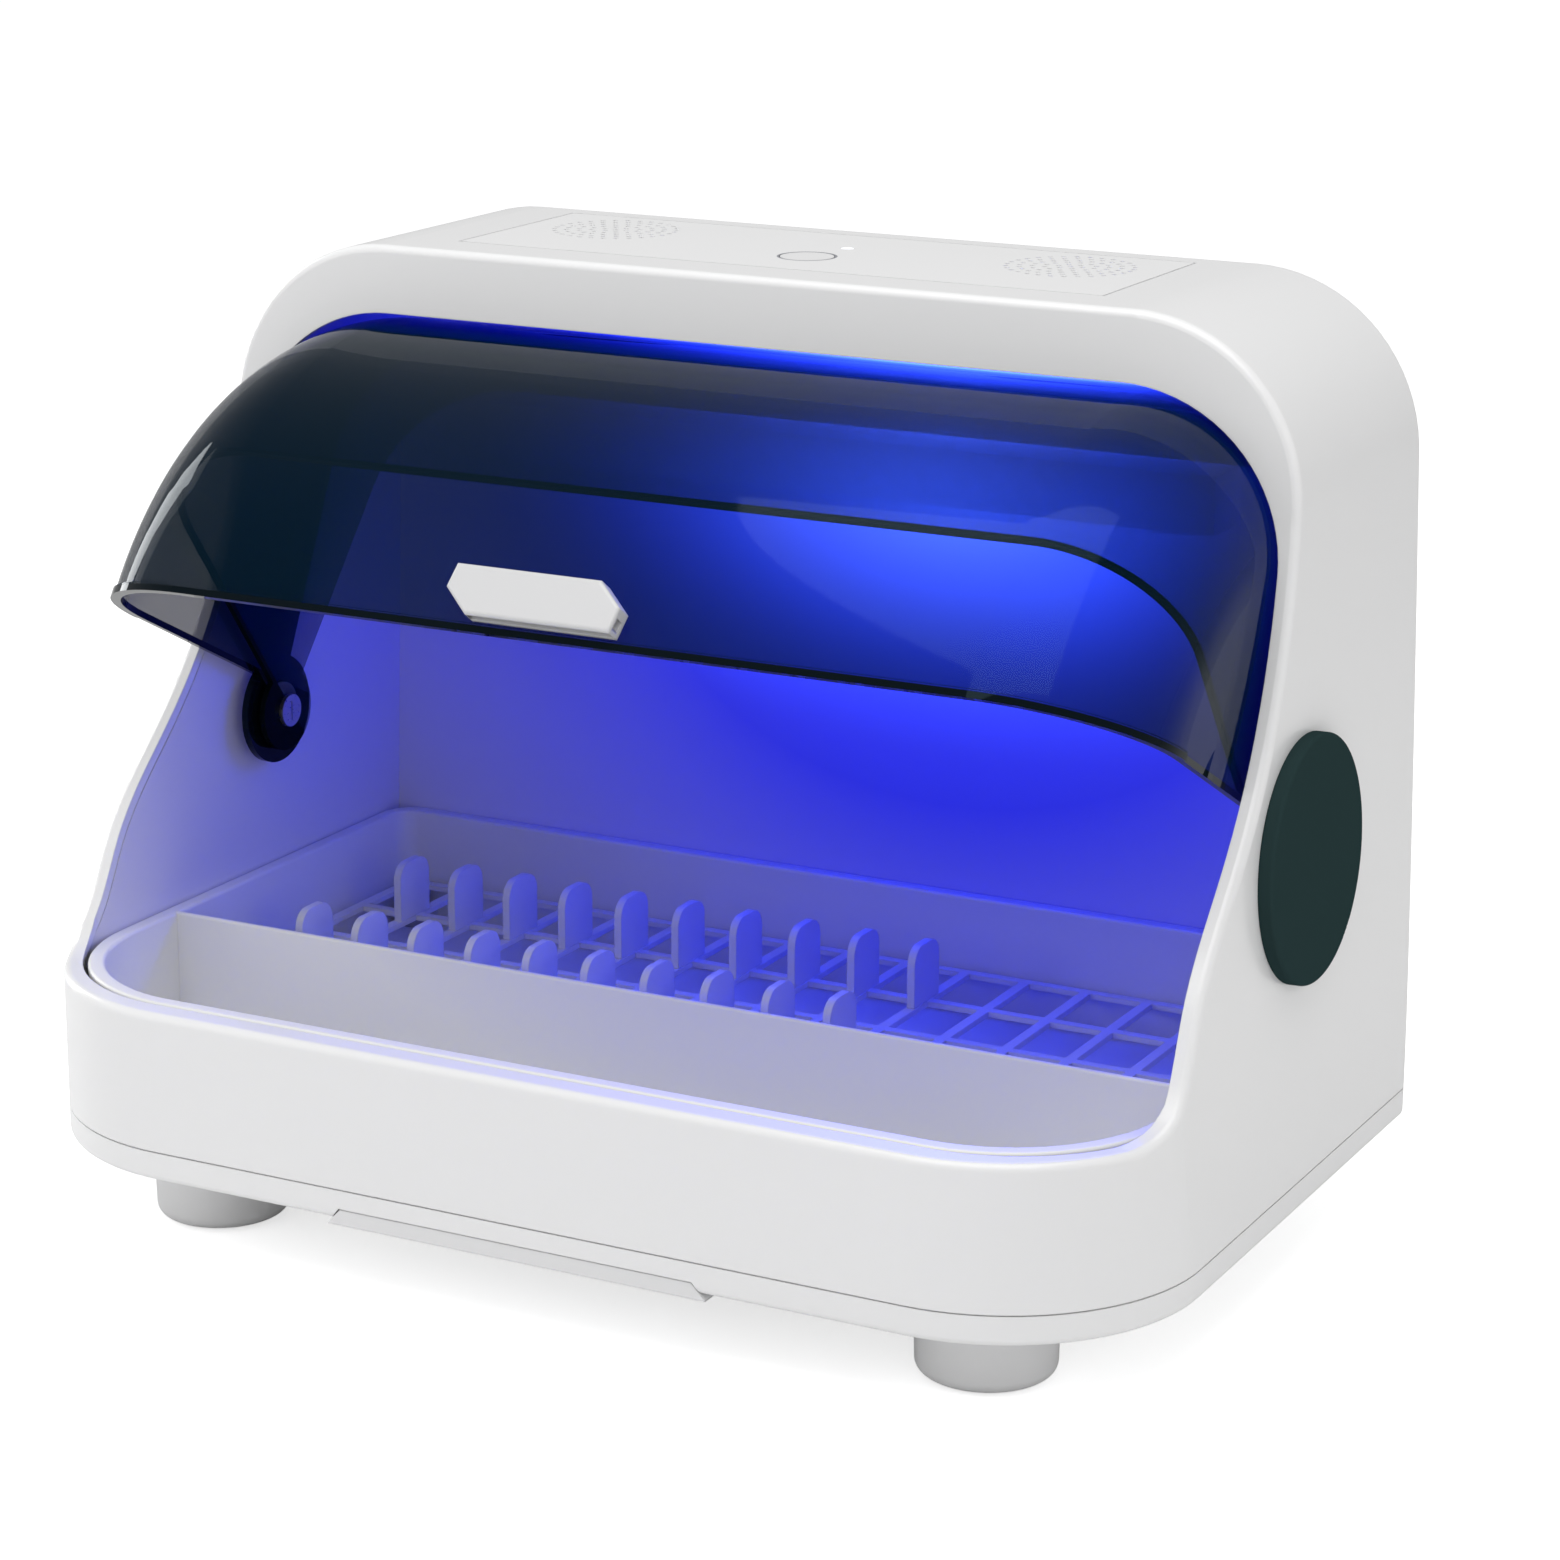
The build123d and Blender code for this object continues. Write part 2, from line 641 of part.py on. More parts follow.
def dish_rack():
    """The slotted rack in the basin."""
    high = rack_top()
    low = high - RACK_THICKNESS
    near = front_y(RACK_FRONT)
    far = front_y(RACK_BACK)
    half = rack_half_width()
    rack = slab(-half, half, near, far, low, high)
    rack = fillet(rack.edges().filter_by(Axis.Z), RACK_BAR)
    pitch = rack_pitch()
    cell = (far - near - RACK_BAR) / RACK_ROWS
    for column in range(RACK_COLUMNS):
        x = (column - (RACK_COLUMNS - 1) / 2) * pitch
        for row in range(RACK_ROWS):
            y = near + RACK_BAR / 2 + (row + 0.5) * cell
            rack -= Pos(x, y, low) * Box(pitch - RACK_BAR, cell - RACK_BAR, 4 * RACK_THICKNESS)
    return rack


def rack_feet():
    """Four rubber feet that lift the rack off the basin's floor."""
    inset = RACK_FOOT_RADIUS + RACK_BAR / 4
    half = rack_half_width() - inset
    low = seam_z(TUB_FLOOR + TUB_WALL)
    near = front_y(RACK_FRONT) + inset
    far = front_y(RACK_BACK) - inset
    return [post(x, y, RACK_FOOT_RADIUS, low, low + RACK_LIFT) for x in (-half, half) for y in (near, far)]


def plate_fins():
    """Two rows of upright fins on the rack's left bars, which keep plates apart."""
    low = rack_top()
    near = front_y(RACK_FRONT) + FIN_FRONT
    fins = []
    for index in range(FIN_COUNT):
        x = (index + 1 - RACK_COLUMNS / 2) * rack_pitch()
        for y in (near, near + FIN_ROW_PITCH):
            half = FIN_THICKNESS / 2
            fin = slab(x - half, x + half, y, y + FIN_LENGTH, low, low + FIN_HEIGHT)
            tips = fin.edges().filter_by(Axis.X).sort_by(Axis.Z)[-2:]
            fins.append(fillet(tips, FIN_LENGTH / 3))
    return fins


def trough_grate():
    """The slotted plate that keeps chopsticks off the trough's wet floor, on two long feet."""
    floor = seam_z(TUB_FLOOR + TUB_WALL)
    low = floor + GRATE_LIFT
    inset = TUB_RIM + GRATE_GAP
    plate = tub_block(inset, low, low + GRATE_THICKNESS)
    plate &= slab(-WIDTH, WIDTH, FRONT_Y, front_y(DIVIDER_Y) - GRATE_GAP, floor, RIM_Z)
    half = HALF_WIDTH - TUB_SIDE - TUB_RIM - FRONT_CORNER
    near = front_y(FRONT_BAND + FIT_GAP) + inset + GRATE_BORDER
    far = front_y(DIVIDER_Y) - GRATE_GAP - GRATE_BORDER
    pitch = 2 * half / (GRATE_SLOTS - 1)
    for index in range(GRATE_SLOTS):
        x = -half + index * pitch
        plate -= Pos(x, (near + far) / 2, low) * Box(GRATE_SLOT_WIDTH, far - near, 4 * GRATE_THICKNESS)
    for y in (near - GRATE_BORDER / 2, far + GRATE_BORDER / 2):
        plate += slab(-half, half, y - GRATE_THICKNESS, y + GRATE_THICKNESS, floor, low)
    return plate


# Base pan, drip tray and feet ------------------------------------------------------------------


def pull_block(grow, near, far):
    """The sloping-ended block of the tray's pull, or its notch when made larger."""
    low = FOOT_HEIGHT - FIT_GAP - TRAY_WALL
    top = FOOT_HEIGHT + PULL_HEIGHT + grow
    half = PULL_WIDTH / 2 + grow
    foot_half = half + PULL_SLANT
    face = make_face(Polyline((-foot_half, low), (foot_half, low), (half, top), (-half, top), close=True))
    return extrude(Plane.XZ.offset(-far) * face, amount=far - near)


def base_pan():
    """The shallow pan under the shell, with a tongue that the shell sits round."""
    floor_top = FOOT_HEIGHT + PAN_WALL
    pan = rounded_box(HALF_WIDTH, FRONT_Y, BACK_Y, FRONT_CORNER, REAR_CORNER, FOOT_HEIGHT, SEAM_Z - SEAM_GAP)
    pan = fillet(pan.faces().sort_by(Axis.Z)[0].edges(), PAN_BOTTOM_ROUND)
    inset = SHELL_WALL + FIT_GAP
    corner = FRONT_CORNER - inset
    rear = REAR_CORNER - inset
    lip_x = HALF_WIDTH - inset
    tongue = rounded_box(
        lip_x, FRONT_Y + inset, BACK_Y - inset, corner, rear, floor_top, SEAM_Z + TONGUE_HEIGHT
    )
    wall = inset + TONGUE_WALL
    hollow = rounded_box(
        HALF_WIDTH - wall,
        FRONT_Y + wall,
        BACK_Y - wall,
        FRONT_CORNER - wall,
        REAR_CORNER - inset,
        floor_top,
        SEAM_Z + 2 * TONGUE_HEIGHT,
    )
    pan = pan + tongue - hollow
    tray_middle = front_y(TRAY_FRONT + TRAY_LENGTH / 2)
    pan -= Pos(0, tray_middle, FOOT_HEIGHT) * Box(PAN_DRAIN_LENGTH, PAN_DRAIN_WIDTH, 4 * PAN_WALL)
    pan -= pull_block(FIT_GAP, FRONT_Y - DEPTH, front_y(PULL_DEPTH) + FIT_GAP)
    for x, y in tub_screw_places():
        pan += post(x, y, BOSS_RADIUS, floor_top - PAN_WALL / 2, seam_z(TUB_BOSS_LOW))
        pan -= post(x, y, SCREW_RADIUS + FIT_GAP, FOOT_HEIGHT - PAN_WALL, seam_z(TUB_BOSS_LOW))
        pan -= post(x, y, SCREW_SINK_RADIUS, FOOT_HEIGHT - PAN_WALL, tub_screw_seat())
    for x, y in foot_places() + rail_screw_places(-1) + rail_screw_places(1):
        pan -= post(x, y, SCREW_RADIUS, FOOT_HEIGHT - PAN_WALL, floor_top + PAN_WALL)
    return pan


def tub_screw_seat():
    """Height of the seats sunk into the pan for the tub's screws."""
    return FOOT_HEIGHT + SCREW_HEAD_HEIGHT + FIT_GAP


def tub_screws():
    """Four screws up through the pan into the tub."""
    seat = tub_screw_seat()
    length = seam_z(TUB_FLOOR) - seat
    return [Pos(x, y, seat) * Rot(180, 0, 0) * screw(length) for x, y in tub_screw_places()]


def drip_tray():
    """The slide-out tray under the pan, with its pull in the pan's front edge."""
    flange_top = FOOT_HEIGHT - FIT_GAP
    flange_low = flange_top - TRAY_WALL
    near = front_y(TRAY_FRONT)
    far = near + TRAY_LENGTH
    half = TRAY_WIDTH / 2
    tray = slab(-half, half, near, far, flange_top - TRAY_HEIGHT, flange_top)
    tray += slab(-half - TRAY_FLANGE, half + TRAY_FLANGE, near, far, flange_low, flange_top)
    tray -= slab(
        -half + TRAY_WALL,
        half - TRAY_WALL,
        near + TRAY_WALL,
        far - TRAY_WALL,
        flange_top - TRAY_HEIGHT + TRAY_WALL,
        FOOT_HEIGHT,
    )
    tray += slab(-half, half, front_y(APRON_FRONT), near + TRAY_WALL, flange_low, flange_top)
    return tray + pull_block(0, front_y(FIT_GAP), front_y(PULL_DEPTH))


def tray_rail(side):
    """One L-shaped rail under the pan that holds a flange of the tray."""
    inner = TRAY_WIDTH / 2 + RAIL_LIP_GAP
    outer = TRAY_WIDTH / 2 + TRAY_FLANGE + FIT_GAP
    near = front_y(TRAY_FRONT)
    far = near + TRAY_LENGTH
    lip_top = FOOT_HEIGHT - FIT_GAP - TRAY_WALL - FIT_GAP
    x0, x1 = sorted((side * inner, side * (outer + RAIL_WIDTH)))
    rail = slab(x0, x1, near, far, lip_top - RAIL_THICKNESS, lip_top)
    x0, x1 = sorted((side * outer, side * (outer + RAIL_WIDTH)))
    rail += slab(x0, x1, near, far, lip_top, FOOT_HEIGHT)
    for x, y in rail_screw_places(side):
        rail -= post(x, y, SCREW_RADIUS + FIT_GAP, 0, FOOT_HEIGHT)
    return rail


def rail_screw_places(side):
    """X and Y of the two screws of one rail."""
    x = side * (TRAY_WIDTH / 2 + TRAY_FLANGE + FIT_GAP + RAIL_WIDTH / 2)
    near = front_y(TRAY_FRONT + RAIL_SCREW_INSET)
    far = front_y(TRAY_FRONT + TRAY_LENGTH - RAIL_SCREW_INSET)
    return [(x, near), (x, far)]


def rail_screws():
    """Four screws up through the rails into the pan."""
    seat = FOOT_HEIGHT - 2 * FIT_GAP - TRAY_WALL - RAIL_THICKNESS
    length = FOOT_HEIGHT + PAN_WALL - seat
    places = rail_screw_places(-1) + rail_screw_places(1)
    return [Pos(x, y, seat) * Rot(180, 0, 0) * screw(length) for x, y in places]


def foot_places():
    """X and Y of the four feet."""
    back = DEPTH - FOOT_INSET_Y
    return [(x, front_y(y)) for x in (-FOOT_X, FOOT_X) for y in (FOOT_INSET_Y, back)]


def foot(x, y):
    """One round foot with a sunk screw hole and a seat for its pad."""
    height = FOOT_HEIGHT - FOOT_PAD_LIFT
    solid = Pos(x, y, FOOT_PAD_LIFT + height / 2) * Cone(FOOT_RADIUS - FOOT_TAPER, FOOT_RADIUS, height)
    solid = fillet(solid.edges().sort_by(Axis.Z)[0], FOOT_EDGE_ROUND)
    solid -= post(x, y, FOOT_PAD_RADIUS + FIT_GAP, 0, FOOT_PAD_THICKNESS)
    solid -= post(x, y, SCREW_RADIUS + FIT_GAP, 0, FOOT_HEIGHT)
    solid -= post(x, y, SCREW_SINK_RADIUS, 0, FOOT_SCREW_SINK)
    return solid


def foot_pads():
    """Four rubber pads under the feet."""
    return [post(x, y, FOOT_PAD_RADIUS, 0, FOOT_PAD_THICKNESS) for x, y in foot_places()]


def foot_screws():
    """Four screws up through the feet into the pan."""
    length = FOOT_HEIGHT + PAN_WALL - FOOT_SCREW_SINK
    return [Pos(x, y, FOOT_SCREW_SINK) * Rot(180, 0, 0) * screw(length) for x, y in foot_places()]


# Top panel, button, board and fans --------------------------------------------------------------


def top_panel():
    """The inset top panel with two round fields of vent holes."""
    low = TOP_Z - 2 * PANEL_THICKNESS
    panel = panel_outline(0, TOP_Z - PANEL_THICKNESS, TOP_Z)
    holes = []
    for side in (-1, 1):
        for x, y in vent_places():
            holes.append(post(side * VENT_X + x, front_y(VENT_Y) + y, VENT_HOLE_RADIUS, low, TOP_Z))
    panel -= holes
    panel -= post(0, front_y(BUTTON_Y), BUTTON_RADIUS + FIT_GAP, low, TOP_Z)
    panel -= post(INDICATOR_X, indicator_y(), INDICATOR_RADIUS + FIT_GAP, low, TOP_Z)
    return panel


def indicator_y():
    """Y of the indicator light."""
    return front_y(BUTTON_Y + INDICATOR_BEHIND_BUTTON)


def vent_places():
    """Places of the vent holes round the middle of one field, in rings."""
    places = [(0.0, 0.0)]
    for ring in range(1, VENT_RINGS + 1):
        count = 6 * ring
        radius = ring * VENT_PITCH
        for index in range(count):
            angle = 2 * math.pi * index / count
            places.append((radius * math.cos(angle), radius * math.sin(angle)))
    return places


def power_button():
    """The round button: cap, retaining flange and stem."""
    y = front_y(BUTTON_Y)
    cap_low = TOP_Z - BUTTON_CAP_THICKNESS
    flange_low = cap_low - BUTTON_FLANGE_THICKNESS
    stem_low = SWITCH_TOP + FIT_GAP + BUTTON_TRAVEL
    button = post(0, y, BUTTON_RADIUS, cap_low, TOP_Z)
    button += post(0, y, BUTTON_FLANGE_RADIUS, flange_low, cap_low)
    return button + post(0, y, BUTTON_STEM_RADIUS, stem_low, flange_low)


def button_spring():
    """The coil spring round the button's stem."""
    low = BOARD_TOP + SPRING_WIRE + FIT_GAP
    high = TOP_Z - BUTTON_CAP_THICKNESS - BUTTON_FLANGE_THICKNESS - SPRING_WIRE - FIT_GAP
    path = Helix(SPRING_PITCH, high - low, SPRING_RADIUS)
    start = Plane(origin=path @ 0, z_dir=path % 0)
    coil = sweep(start * Circle(SPRING_WIRE), path)
    return Pos(0, front_y(BUTTON_Y), low) * coil


def indicator_lens():
    """The small round light guide beside the button."""
    flange_top = TOP_Z - PANEL_THICKNESS
    flange_radius = INDICATOR_RADIUS + INDICATOR_FLANGE
    lens = post(INDICATOR_X, indicator_y(), INDICATOR_RADIUS, flange_top, TOP_Z)
    return lens + post(INDICATOR_X, indicator_y(), flange_radius, BOARD_TOP + FIT_GAP, flange_top)


def board_corners():
    """X and Y of the control board's four standoffs."""
    half_x = BOARD_LENGTH / 2 - STANDOFF_INSET
    half_y = BOARD_WIDTH / 2 - STANDOFF_INSET
    middle = front_y(BUTTON_Y + BOARD_SHIFT)
    return [(x, middle + y) for x in (-half_x, half_x) for y in (-half_y, half_y)]


def control_board():
    """The board under the button, with its push switch and a few chips."""
    middle = front_y(BUTTON_Y + BOARD_SHIFT)
    low = TOP_Z - BOARD_DROP
    board = Pos(0, middle, low + BOARD_THICKNESS / 2) * Box(BOARD_LENGTH, BOARD_WIDTH, BOARD_THICKNESS)
    for x, y in board_corners():
        board -= post(x, y, SCREW_RADIUS, low, BOARD_TOP)
    board += Pos(-CHIP_X, middle, BOARD_TOP + CHIP_HEIGHT / 2) * Box(CHIP_SIZE, CHIP_SIZE, CHIP_HEIGHT)
    plug = Pos(CHIP_X, middle, BOARD_TOP + PLUG_HEIGHT / 2) * Box(PLUG_WIDTH, PLUG_LENGTH, PLUG_HEIGHT)
    return board + plug


def push_switch():
    """The small push switch on the board, under the button's stem."""
    y = front_y(BUTTON_Y)
    body = slab(
        -SWITCH_SIZE / 2,
        SWITCH_SIZE / 2,
        y - SWITCH_SIZE / 2,
        y + SWITCH_SIZE / 2,
        BOARD_TOP,
        SWITCH_TOP - FIT_GAP,
    )
    return body + post(0, y, SWITCH_SIZE / 4, SWITCH_TOP - FIT_GAP, SWITCH_TOP)


def board_standoffs():
    """Four short posts with screws that carry the control board."""
    low = CEILING_Z + LINER_WALL
    group = []
    for x, y in board_corners():
        group.append(post(x, y, STANDOFF_RADIUS, low, TOP_Z - BOARD_DROP))
        group.append(Pos(x, y, BOARD_TOP) * screw_head_only())
    return group


def screw_head_only():
    """A pan head with a shank as long as the board is thick, a little slimmer than its hole."""
    head = Pos(0, 0, SCREW_HEAD_HEIGHT / 2) * Cylinder(STANDOFF_RADIUS, SCREW_HEAD_HEIGHT)
    shank = Pos(0, 0, -BOARD_THICKNESS / 2) * Cylinder(SCREW_RADIUS - FIT_GAP / 2, BOARD_THICKNESS)
    return head + shank


def fan_frame(side):
    """One square fan frame with struts and a bearing for its rotor."""
    low = CEILING_Z + LINER_WALL
    x = side * VENT_X
    y = front_y(FAN_Y)
    frame = Pos(x, y, low + FAN_DEPTH / 2) * Box(FAN_SIZE, FAN_SIZE, FAN_DEPTH)
    frame = fillet(frame.edges().filter_by(Axis.Z), FAN_CORNER)
    frame -= post(x, y, FAN_BORE_RADIUS, low, low + FAN_DEPTH)
    reach = FAN_SIZE - FAN_CORNER
    strut = Pos(x, y, low + FAN_STRUT_THICKNESS / 2) * Box(reach, FAN_STRUT, FAN_STRUT_THICKNESS)
    frame += strut + strut.rotate(Axis((x, y, 0), (0, 0, 1)), 90)
    frame += post(x, y, FAN_HUB_RADIUS / 2, low, low + 2 * FAN_STRUT_THICKNESS)
    frame -= post(x, y, FAN_SHAFT_RADIUS + RUN_GAP, low, low + FAN_DEPTH)
    for corner_x, corner_y in fan_corners(side):
        frame -= post(corner_x, corner_y, SCREW_RADIUS + FIT_GAP, low, low + FAN_DEPTH)
    return frame


def fan_corners(side):
    """X and Y of the four screws of one fan."""
    half = FAN_SIZE / 2 - FAN_SCREW_INSET
    return [(side * VENT_X + x, front_y(FAN_Y) + y) for x in (-half, half) for y in (-half, half)]


def fan_rotor(side):
    """One fan rotor: hub, tilted blades and shaft."""
    low = CEILING_Z + LINER_WALL
    x = side * VENT_X
    y = front_y(FAN_Y)
    hub_low = low + 2 * FAN_STRUT_THICKNESS + FIT_GAP
    hub_high = low + FAN_DEPTH - FAN_STRUT_THICKNESS
    rotor = post(0, 0, FAN_HUB_RADIUS, hub_low, hub_high)
    rotor += post(0, 0, FAN_SHAFT_RADIUS, low, hub_low)
    reach = FAN_BORE_RADIUS - FAN_TIP_GAP
    height = hub_high - hub_low
    middle = (hub_low + hub_high) / 2
    length = reach - FAN_HUB_RADIUS / 2
    blade = Pos(FAN_HUB_RADIUS / 2 + length / 2, 0, middle) * Rot(90 - FAN_BLADE_TILT, 0, 0) * Box(
        length, FAN_BLADE_THICKNESS, height / math.cos(math.radians(FAN_BLADE_TILT))
    )
    for index in range(FAN_BLADES):
        rotor += Rot(0, 0, 360 * index / FAN_BLADES) * blade
    rotor &= post(0, 0, reach, low, hub_high)
    return Pos(x, y, 0) * rotor


def fan_screws():
    """Eight screws down through the fan frames into the liner's ceiling."""
    top = CEILING_Z + LINER_WALL + FAN_DEPTH
    return [Pos(x, y, top) * screw(FAN_DEPTH) for side in (-1, 1) for x, y in fan_corners(side)]


# Lamp ------------------------------------------------------------------------------------------


def lamp_place():
    """Y and Z of the lamp tube's middle."""
    wall = front_y(LINER_BACK - LINER_WALL) - FIT_GAP
    return wall - TUBE_BACK, seam_z(LAMP_TOP - TUBE_DROP)


def lamp_housing():
    """The reflector along the back wall, open below, over the lamp tube."""
    back = front_y(LINER_BACK - LINER_WALL) - FIT_GAP
    near = back - LAMP_DEPTH
    half = LAMP_HALF_LENGTH
    top = seam_z(LAMP_TOP)
    front_low = top - LAMP_FRONT_HEIGHT
    housing = slab(-half, half, back - LAMP_WALL, back, top - LAMP_BACK_HEIGHT, top)
    housing += slab(-half, half, near, back, top - LAMP_WALL, top)
    housing += slab(-half, half, near, near + LAMP_WALL, front_low, top)
    for side in (-1, 1):
        x0, x1 = sorted((side * half, side * (half - LAMP_WALL)))
        housing += slab(x0, x1, near, back, front_low, top)
    return housing


def lamp_sockets():
    """The two sockets that hold the lamp tube under the reflector."""
    y, z = lamp_place()
    back = front_y(LINER_BACK - LINER_WALL) - FIT_GAP - LAMP_WALL
    group = []
    for side in (-1, 1):
        x0, x1 = sorted((side * TUBE_LENGTH / 2, side * (TUBE_LENGTH / 2 + SOCKET_WIDTH)))
        block = slab(x0, x1, y - SOCKET_SIZE / 2, back, z - SOCKET_SIZE / 2, seam_z(LAMP_TOP) - LAMP_WALL)
        group.append(block)
    return group


def uv_lamp():
    """The lamp tube with its two end caps."""
    y, z = lamp_place()
    tube = Pos(0, y, z) * Rot(0, 90, 0) * Cylinder(TUBE_RADIUS - FIT_GAP, TUBE_LENGTH - 2 * TUBE_CAP_LENGTH)
    for side in (-1, 1):
        x = side * (TUBE_LENGTH / 2 - TUBE_CAP_LENGTH / 2)
        tube += Pos(x, y, z) * Rot(0, 90, 0) * Cylinder(TUBE_RADIUS, TUBE_CAP_LENGTH)
    return tube


def lamp_driver():
    """The lamp's driver board behind the liner."""
    y0 = front_y(LINER_BACK)
    half = DRIVER_LENGTH / 2
    low = seam_z(DRIVER_UP)
    board = slab(-half, half, y0, y0 + BOARD_THICKNESS, low, low + DRIVER_HEIGHT)
    face = y0 + BOARD_THICKNESS
    third = DRIVER_HEIGHT / 3
    board += slab(-2 * half / 3, -half / 6, face, face + DRIVER_PART_HEIGHT, low + third / 2, low + 2 * third)
    return board + slab(half / 6, 2 * half / 3, face, face + DRIVER_PART_HEIGHT, low + third, low + 2 * third)


# Visor, window and hinge ------------------------------------------------------------------------


def arc_band(half_width, radius, corner, wall):
    """A curved band round the hinge axis with rounded shoulders and flat cheeks."""
    outer = [(-half_width, 0), (half_width, 0), (half_width, radius), (-half_width, radius)]
    face = make_face(Polyline(*outer, close=True))
    face = fillet(face.vertices().sort_by(Axis.Y)[-2:], corner)
    inner_half = half_width - wall
    inner = [(-inner_half, 0), (inner_half, 0), (inner_half, radius - wall), (-inner_half, radius - wall)]
    hole = make_face(Polyline(*inner, close=True))
    hole = fillet(hole.vertices().sort_by(Axis.Y)[-2:], corner - wall)
    ring = Plane.XZ * (face - hole)
    band = revolve(ring, Axis.X, 360)
    return Pos(0, HINGE_Y, HINGE_Z) * band


def direction(angle):
    """Y and Z of a unit step away from the hinge, at an angle back from straight up."""
    return math.sin(math.radians(angle)), math.cos(math.radians(angle))


def turned(angle):
    """A place on the hinge axis whose +Z points away at an angle back from straight up."""
    return Pos(0, HINGE_Y, HINGE_Z) * Rot(-angle, 0, 0)


def wedge(front_angle, rear_angle, rise):
    """The space between two planes from the hinge, the front one lifted by rise."""
    far = 3 * VISOR_RADIUS
    behind = turned(front_angle) * Pos(0, rise + far / 2, 0) * Box(2 * WIDTH, far, 2 * far)
    ahead = turned(rear_angle) * Pos(0, -far / 2, 0) * Box(2 * WIDTH, far, 2 * far)
    return behind & ahead


def hub_disc(side, outer_x, wall, radius):
    """A flat round hub at the end of a cheek."""
    return cross_pin(radius, side * (outer_x - wall), side * outer_x)


def handle_angle():
    """Angle of the handle's middle on the visor."""
    up = HANDLE_ABOVE_LIP + HANDLE_HEIGHT / 2
    return VISOR_LIP_ANGLE + math.degrees(up / VISOR_RADIUS)


def handle_frame():
    """A place on the visor's skin with +Z outwards and +Y towards the hood."""
    angle = handle_angle()
    step_y, step_z = direction(angle)
    y = HINGE_Y + VISOR_RADIUS * step_y
    z = HINGE_Z + VISOR_RADIUS * step_z
    return Location(Plane(origin=(HANDLE_X, y, z), x_dir=(1, 0, 0), z_dir=(0, step_y, step_z)))


def visor():
    """The smoked swinging visor with its two cheeks, hubs and thick lip."""
    band = arc_band(VISOR_HALF_WIDTH, VISOR_RADIUS, VISOR_CORNER, VISOR_WALL)
    shell = band & wedge(VISOR_LIP_ANGLE - VISOR_TILT, VISOR_REAR_ANGLE, VISOR_EDGE_RISE)
    bead = arc_band(
        VISOR_HALF_WIDTH + BEAD_HEIGHT,
        VISOR_RADIUS + BEAD_HEIGHT,
        VISOR_CORNER + BEAD_HEIGHT,
        VISOR_WALL / 2 + BEAD_HEIGHT,
    )
    shell += bead & edge_strip(BEAD_LENGTH)
    for side in (-1, 1):
        shell += hub_disc(side, VISOR_HALF_WIDTH, VISOR_WALL, VISOR_HUB_RADIUS)
    shell -= cross_pin(PIN_RADIUS + RUN_GAP, -WIDTH, WIDTH)
    for side in (-1, 1):
        hole = Pos(side * HANDLE_SCREW_X, 0, 0) * Cylinder(SCREW_RADIUS + FIT_GAP, 4 * VISOR_WALL)
        shell -= handle_frame() * hole
    return shell


def edge_strip(width):
    """A flat layer of space along the visor's lower edge, as thick as width."""
    near = VISOR_RADIUS - VISOR_CORNER
    middle = Pos(0, VISOR_EDGE_RISE + width / 2, near + VISOR_RADIUS)
    return turned(VISOR_LIP_ANGLE - VISOR_TILT) * middle * Box(2 * WIDTH, width, 2 * VISOR_RADIUS)


def handle_face(inset):
    """The grip's six-sided front moved inwards, its upper edge further left than its lower one."""
    tip = HANDLE_WIDTH / 2 - inset
    side = tip - HANDLE_TAPER
    high = HANDLE_HEIGHT / 2 - inset
    skew = handle_skew(high)
    upper = [(tip, 0), (side - skew, high), (-side - skew, high)]
    lower = [(-x, -y) for x, y in upper]
    return make_face(Polyline(*upper, *lower, close=True))


def handle_skew(up):
    """How far left the grip has shifted at a height above its middle."""
    return HANDLE_SKEW * up / (HANDLE_HEIGHT / 2)


def visor_handle():
    """The white grip on the visor, scooped out underneath for the fingers."""
    sink = 2 * VISOR_WALL
    grip = extrude(Pos(0, 0, -sink) * handle_face(0), amount=sink + HANDLE_REACH)
    grip = fillet(grip.edges().group_by(Axis.Z)[-1], HANDLE_ROUND)
    drop = 2 * HANDLE_WALL
    scoop = Pos(handle_skew(drop), -drop, HANDLE_WALL) * handle_face(HANDLE_WALL)
    grip -= extrude(scoop, amount=HANDLE_REACH - 2 * HANDLE_WALL)
    for side in (-1, 1):
        bore = Pos(side * HANDLE_SCREW_X, 0, 0) * Cylinder(SCREW_RADIUS, 2 * HANDLE_WALL)
        grip -= bore
    grip = handle_frame() * grip
    return grip - cross_pin(VISOR_RADIUS + FIT_GAP / 6, -WIDTH, WIDTH)


def handle_screws():
    """Two screws from inside the visor into the handle."""
    group = []
    for side in (-1, 1):
        seat = Pos(side * HANDLE_SCREW_X, 0, -VISOR_WALL - FIT_GAP / 3) * Rot(180, 0, 0)
        group.append(handle_frame() * seat * screw(VISOR_WALL + HANDLE_WALL))
    return group


def upper_window():
    """The fixed smoked window inside the visor, hung from the hinge pins."""
    band = arc_band(WINDOW_HALF_WIDTH, WINDOW_RADIUS, WINDOW_CORNER, WINDOW_WALL)
    pane = band & wedge(WINDOW_LIP_ANGLE, WINDOW_REAR_ANGLE, 0)
    for side in (-1, 1):
        pane += hub_disc(side, WINDOW_HALF_WIDTH, WINDOW_WALL, WINDOW_HUB_RADIUS)
    return pane - cross_pin(PIN_END_RADIUS + RUN_GAP, -WIDTH, WIDTH)


def wall_x():
    """X of the shell's outer side face at the height of the hinge."""
    return half_width_at(HINGE_UP)


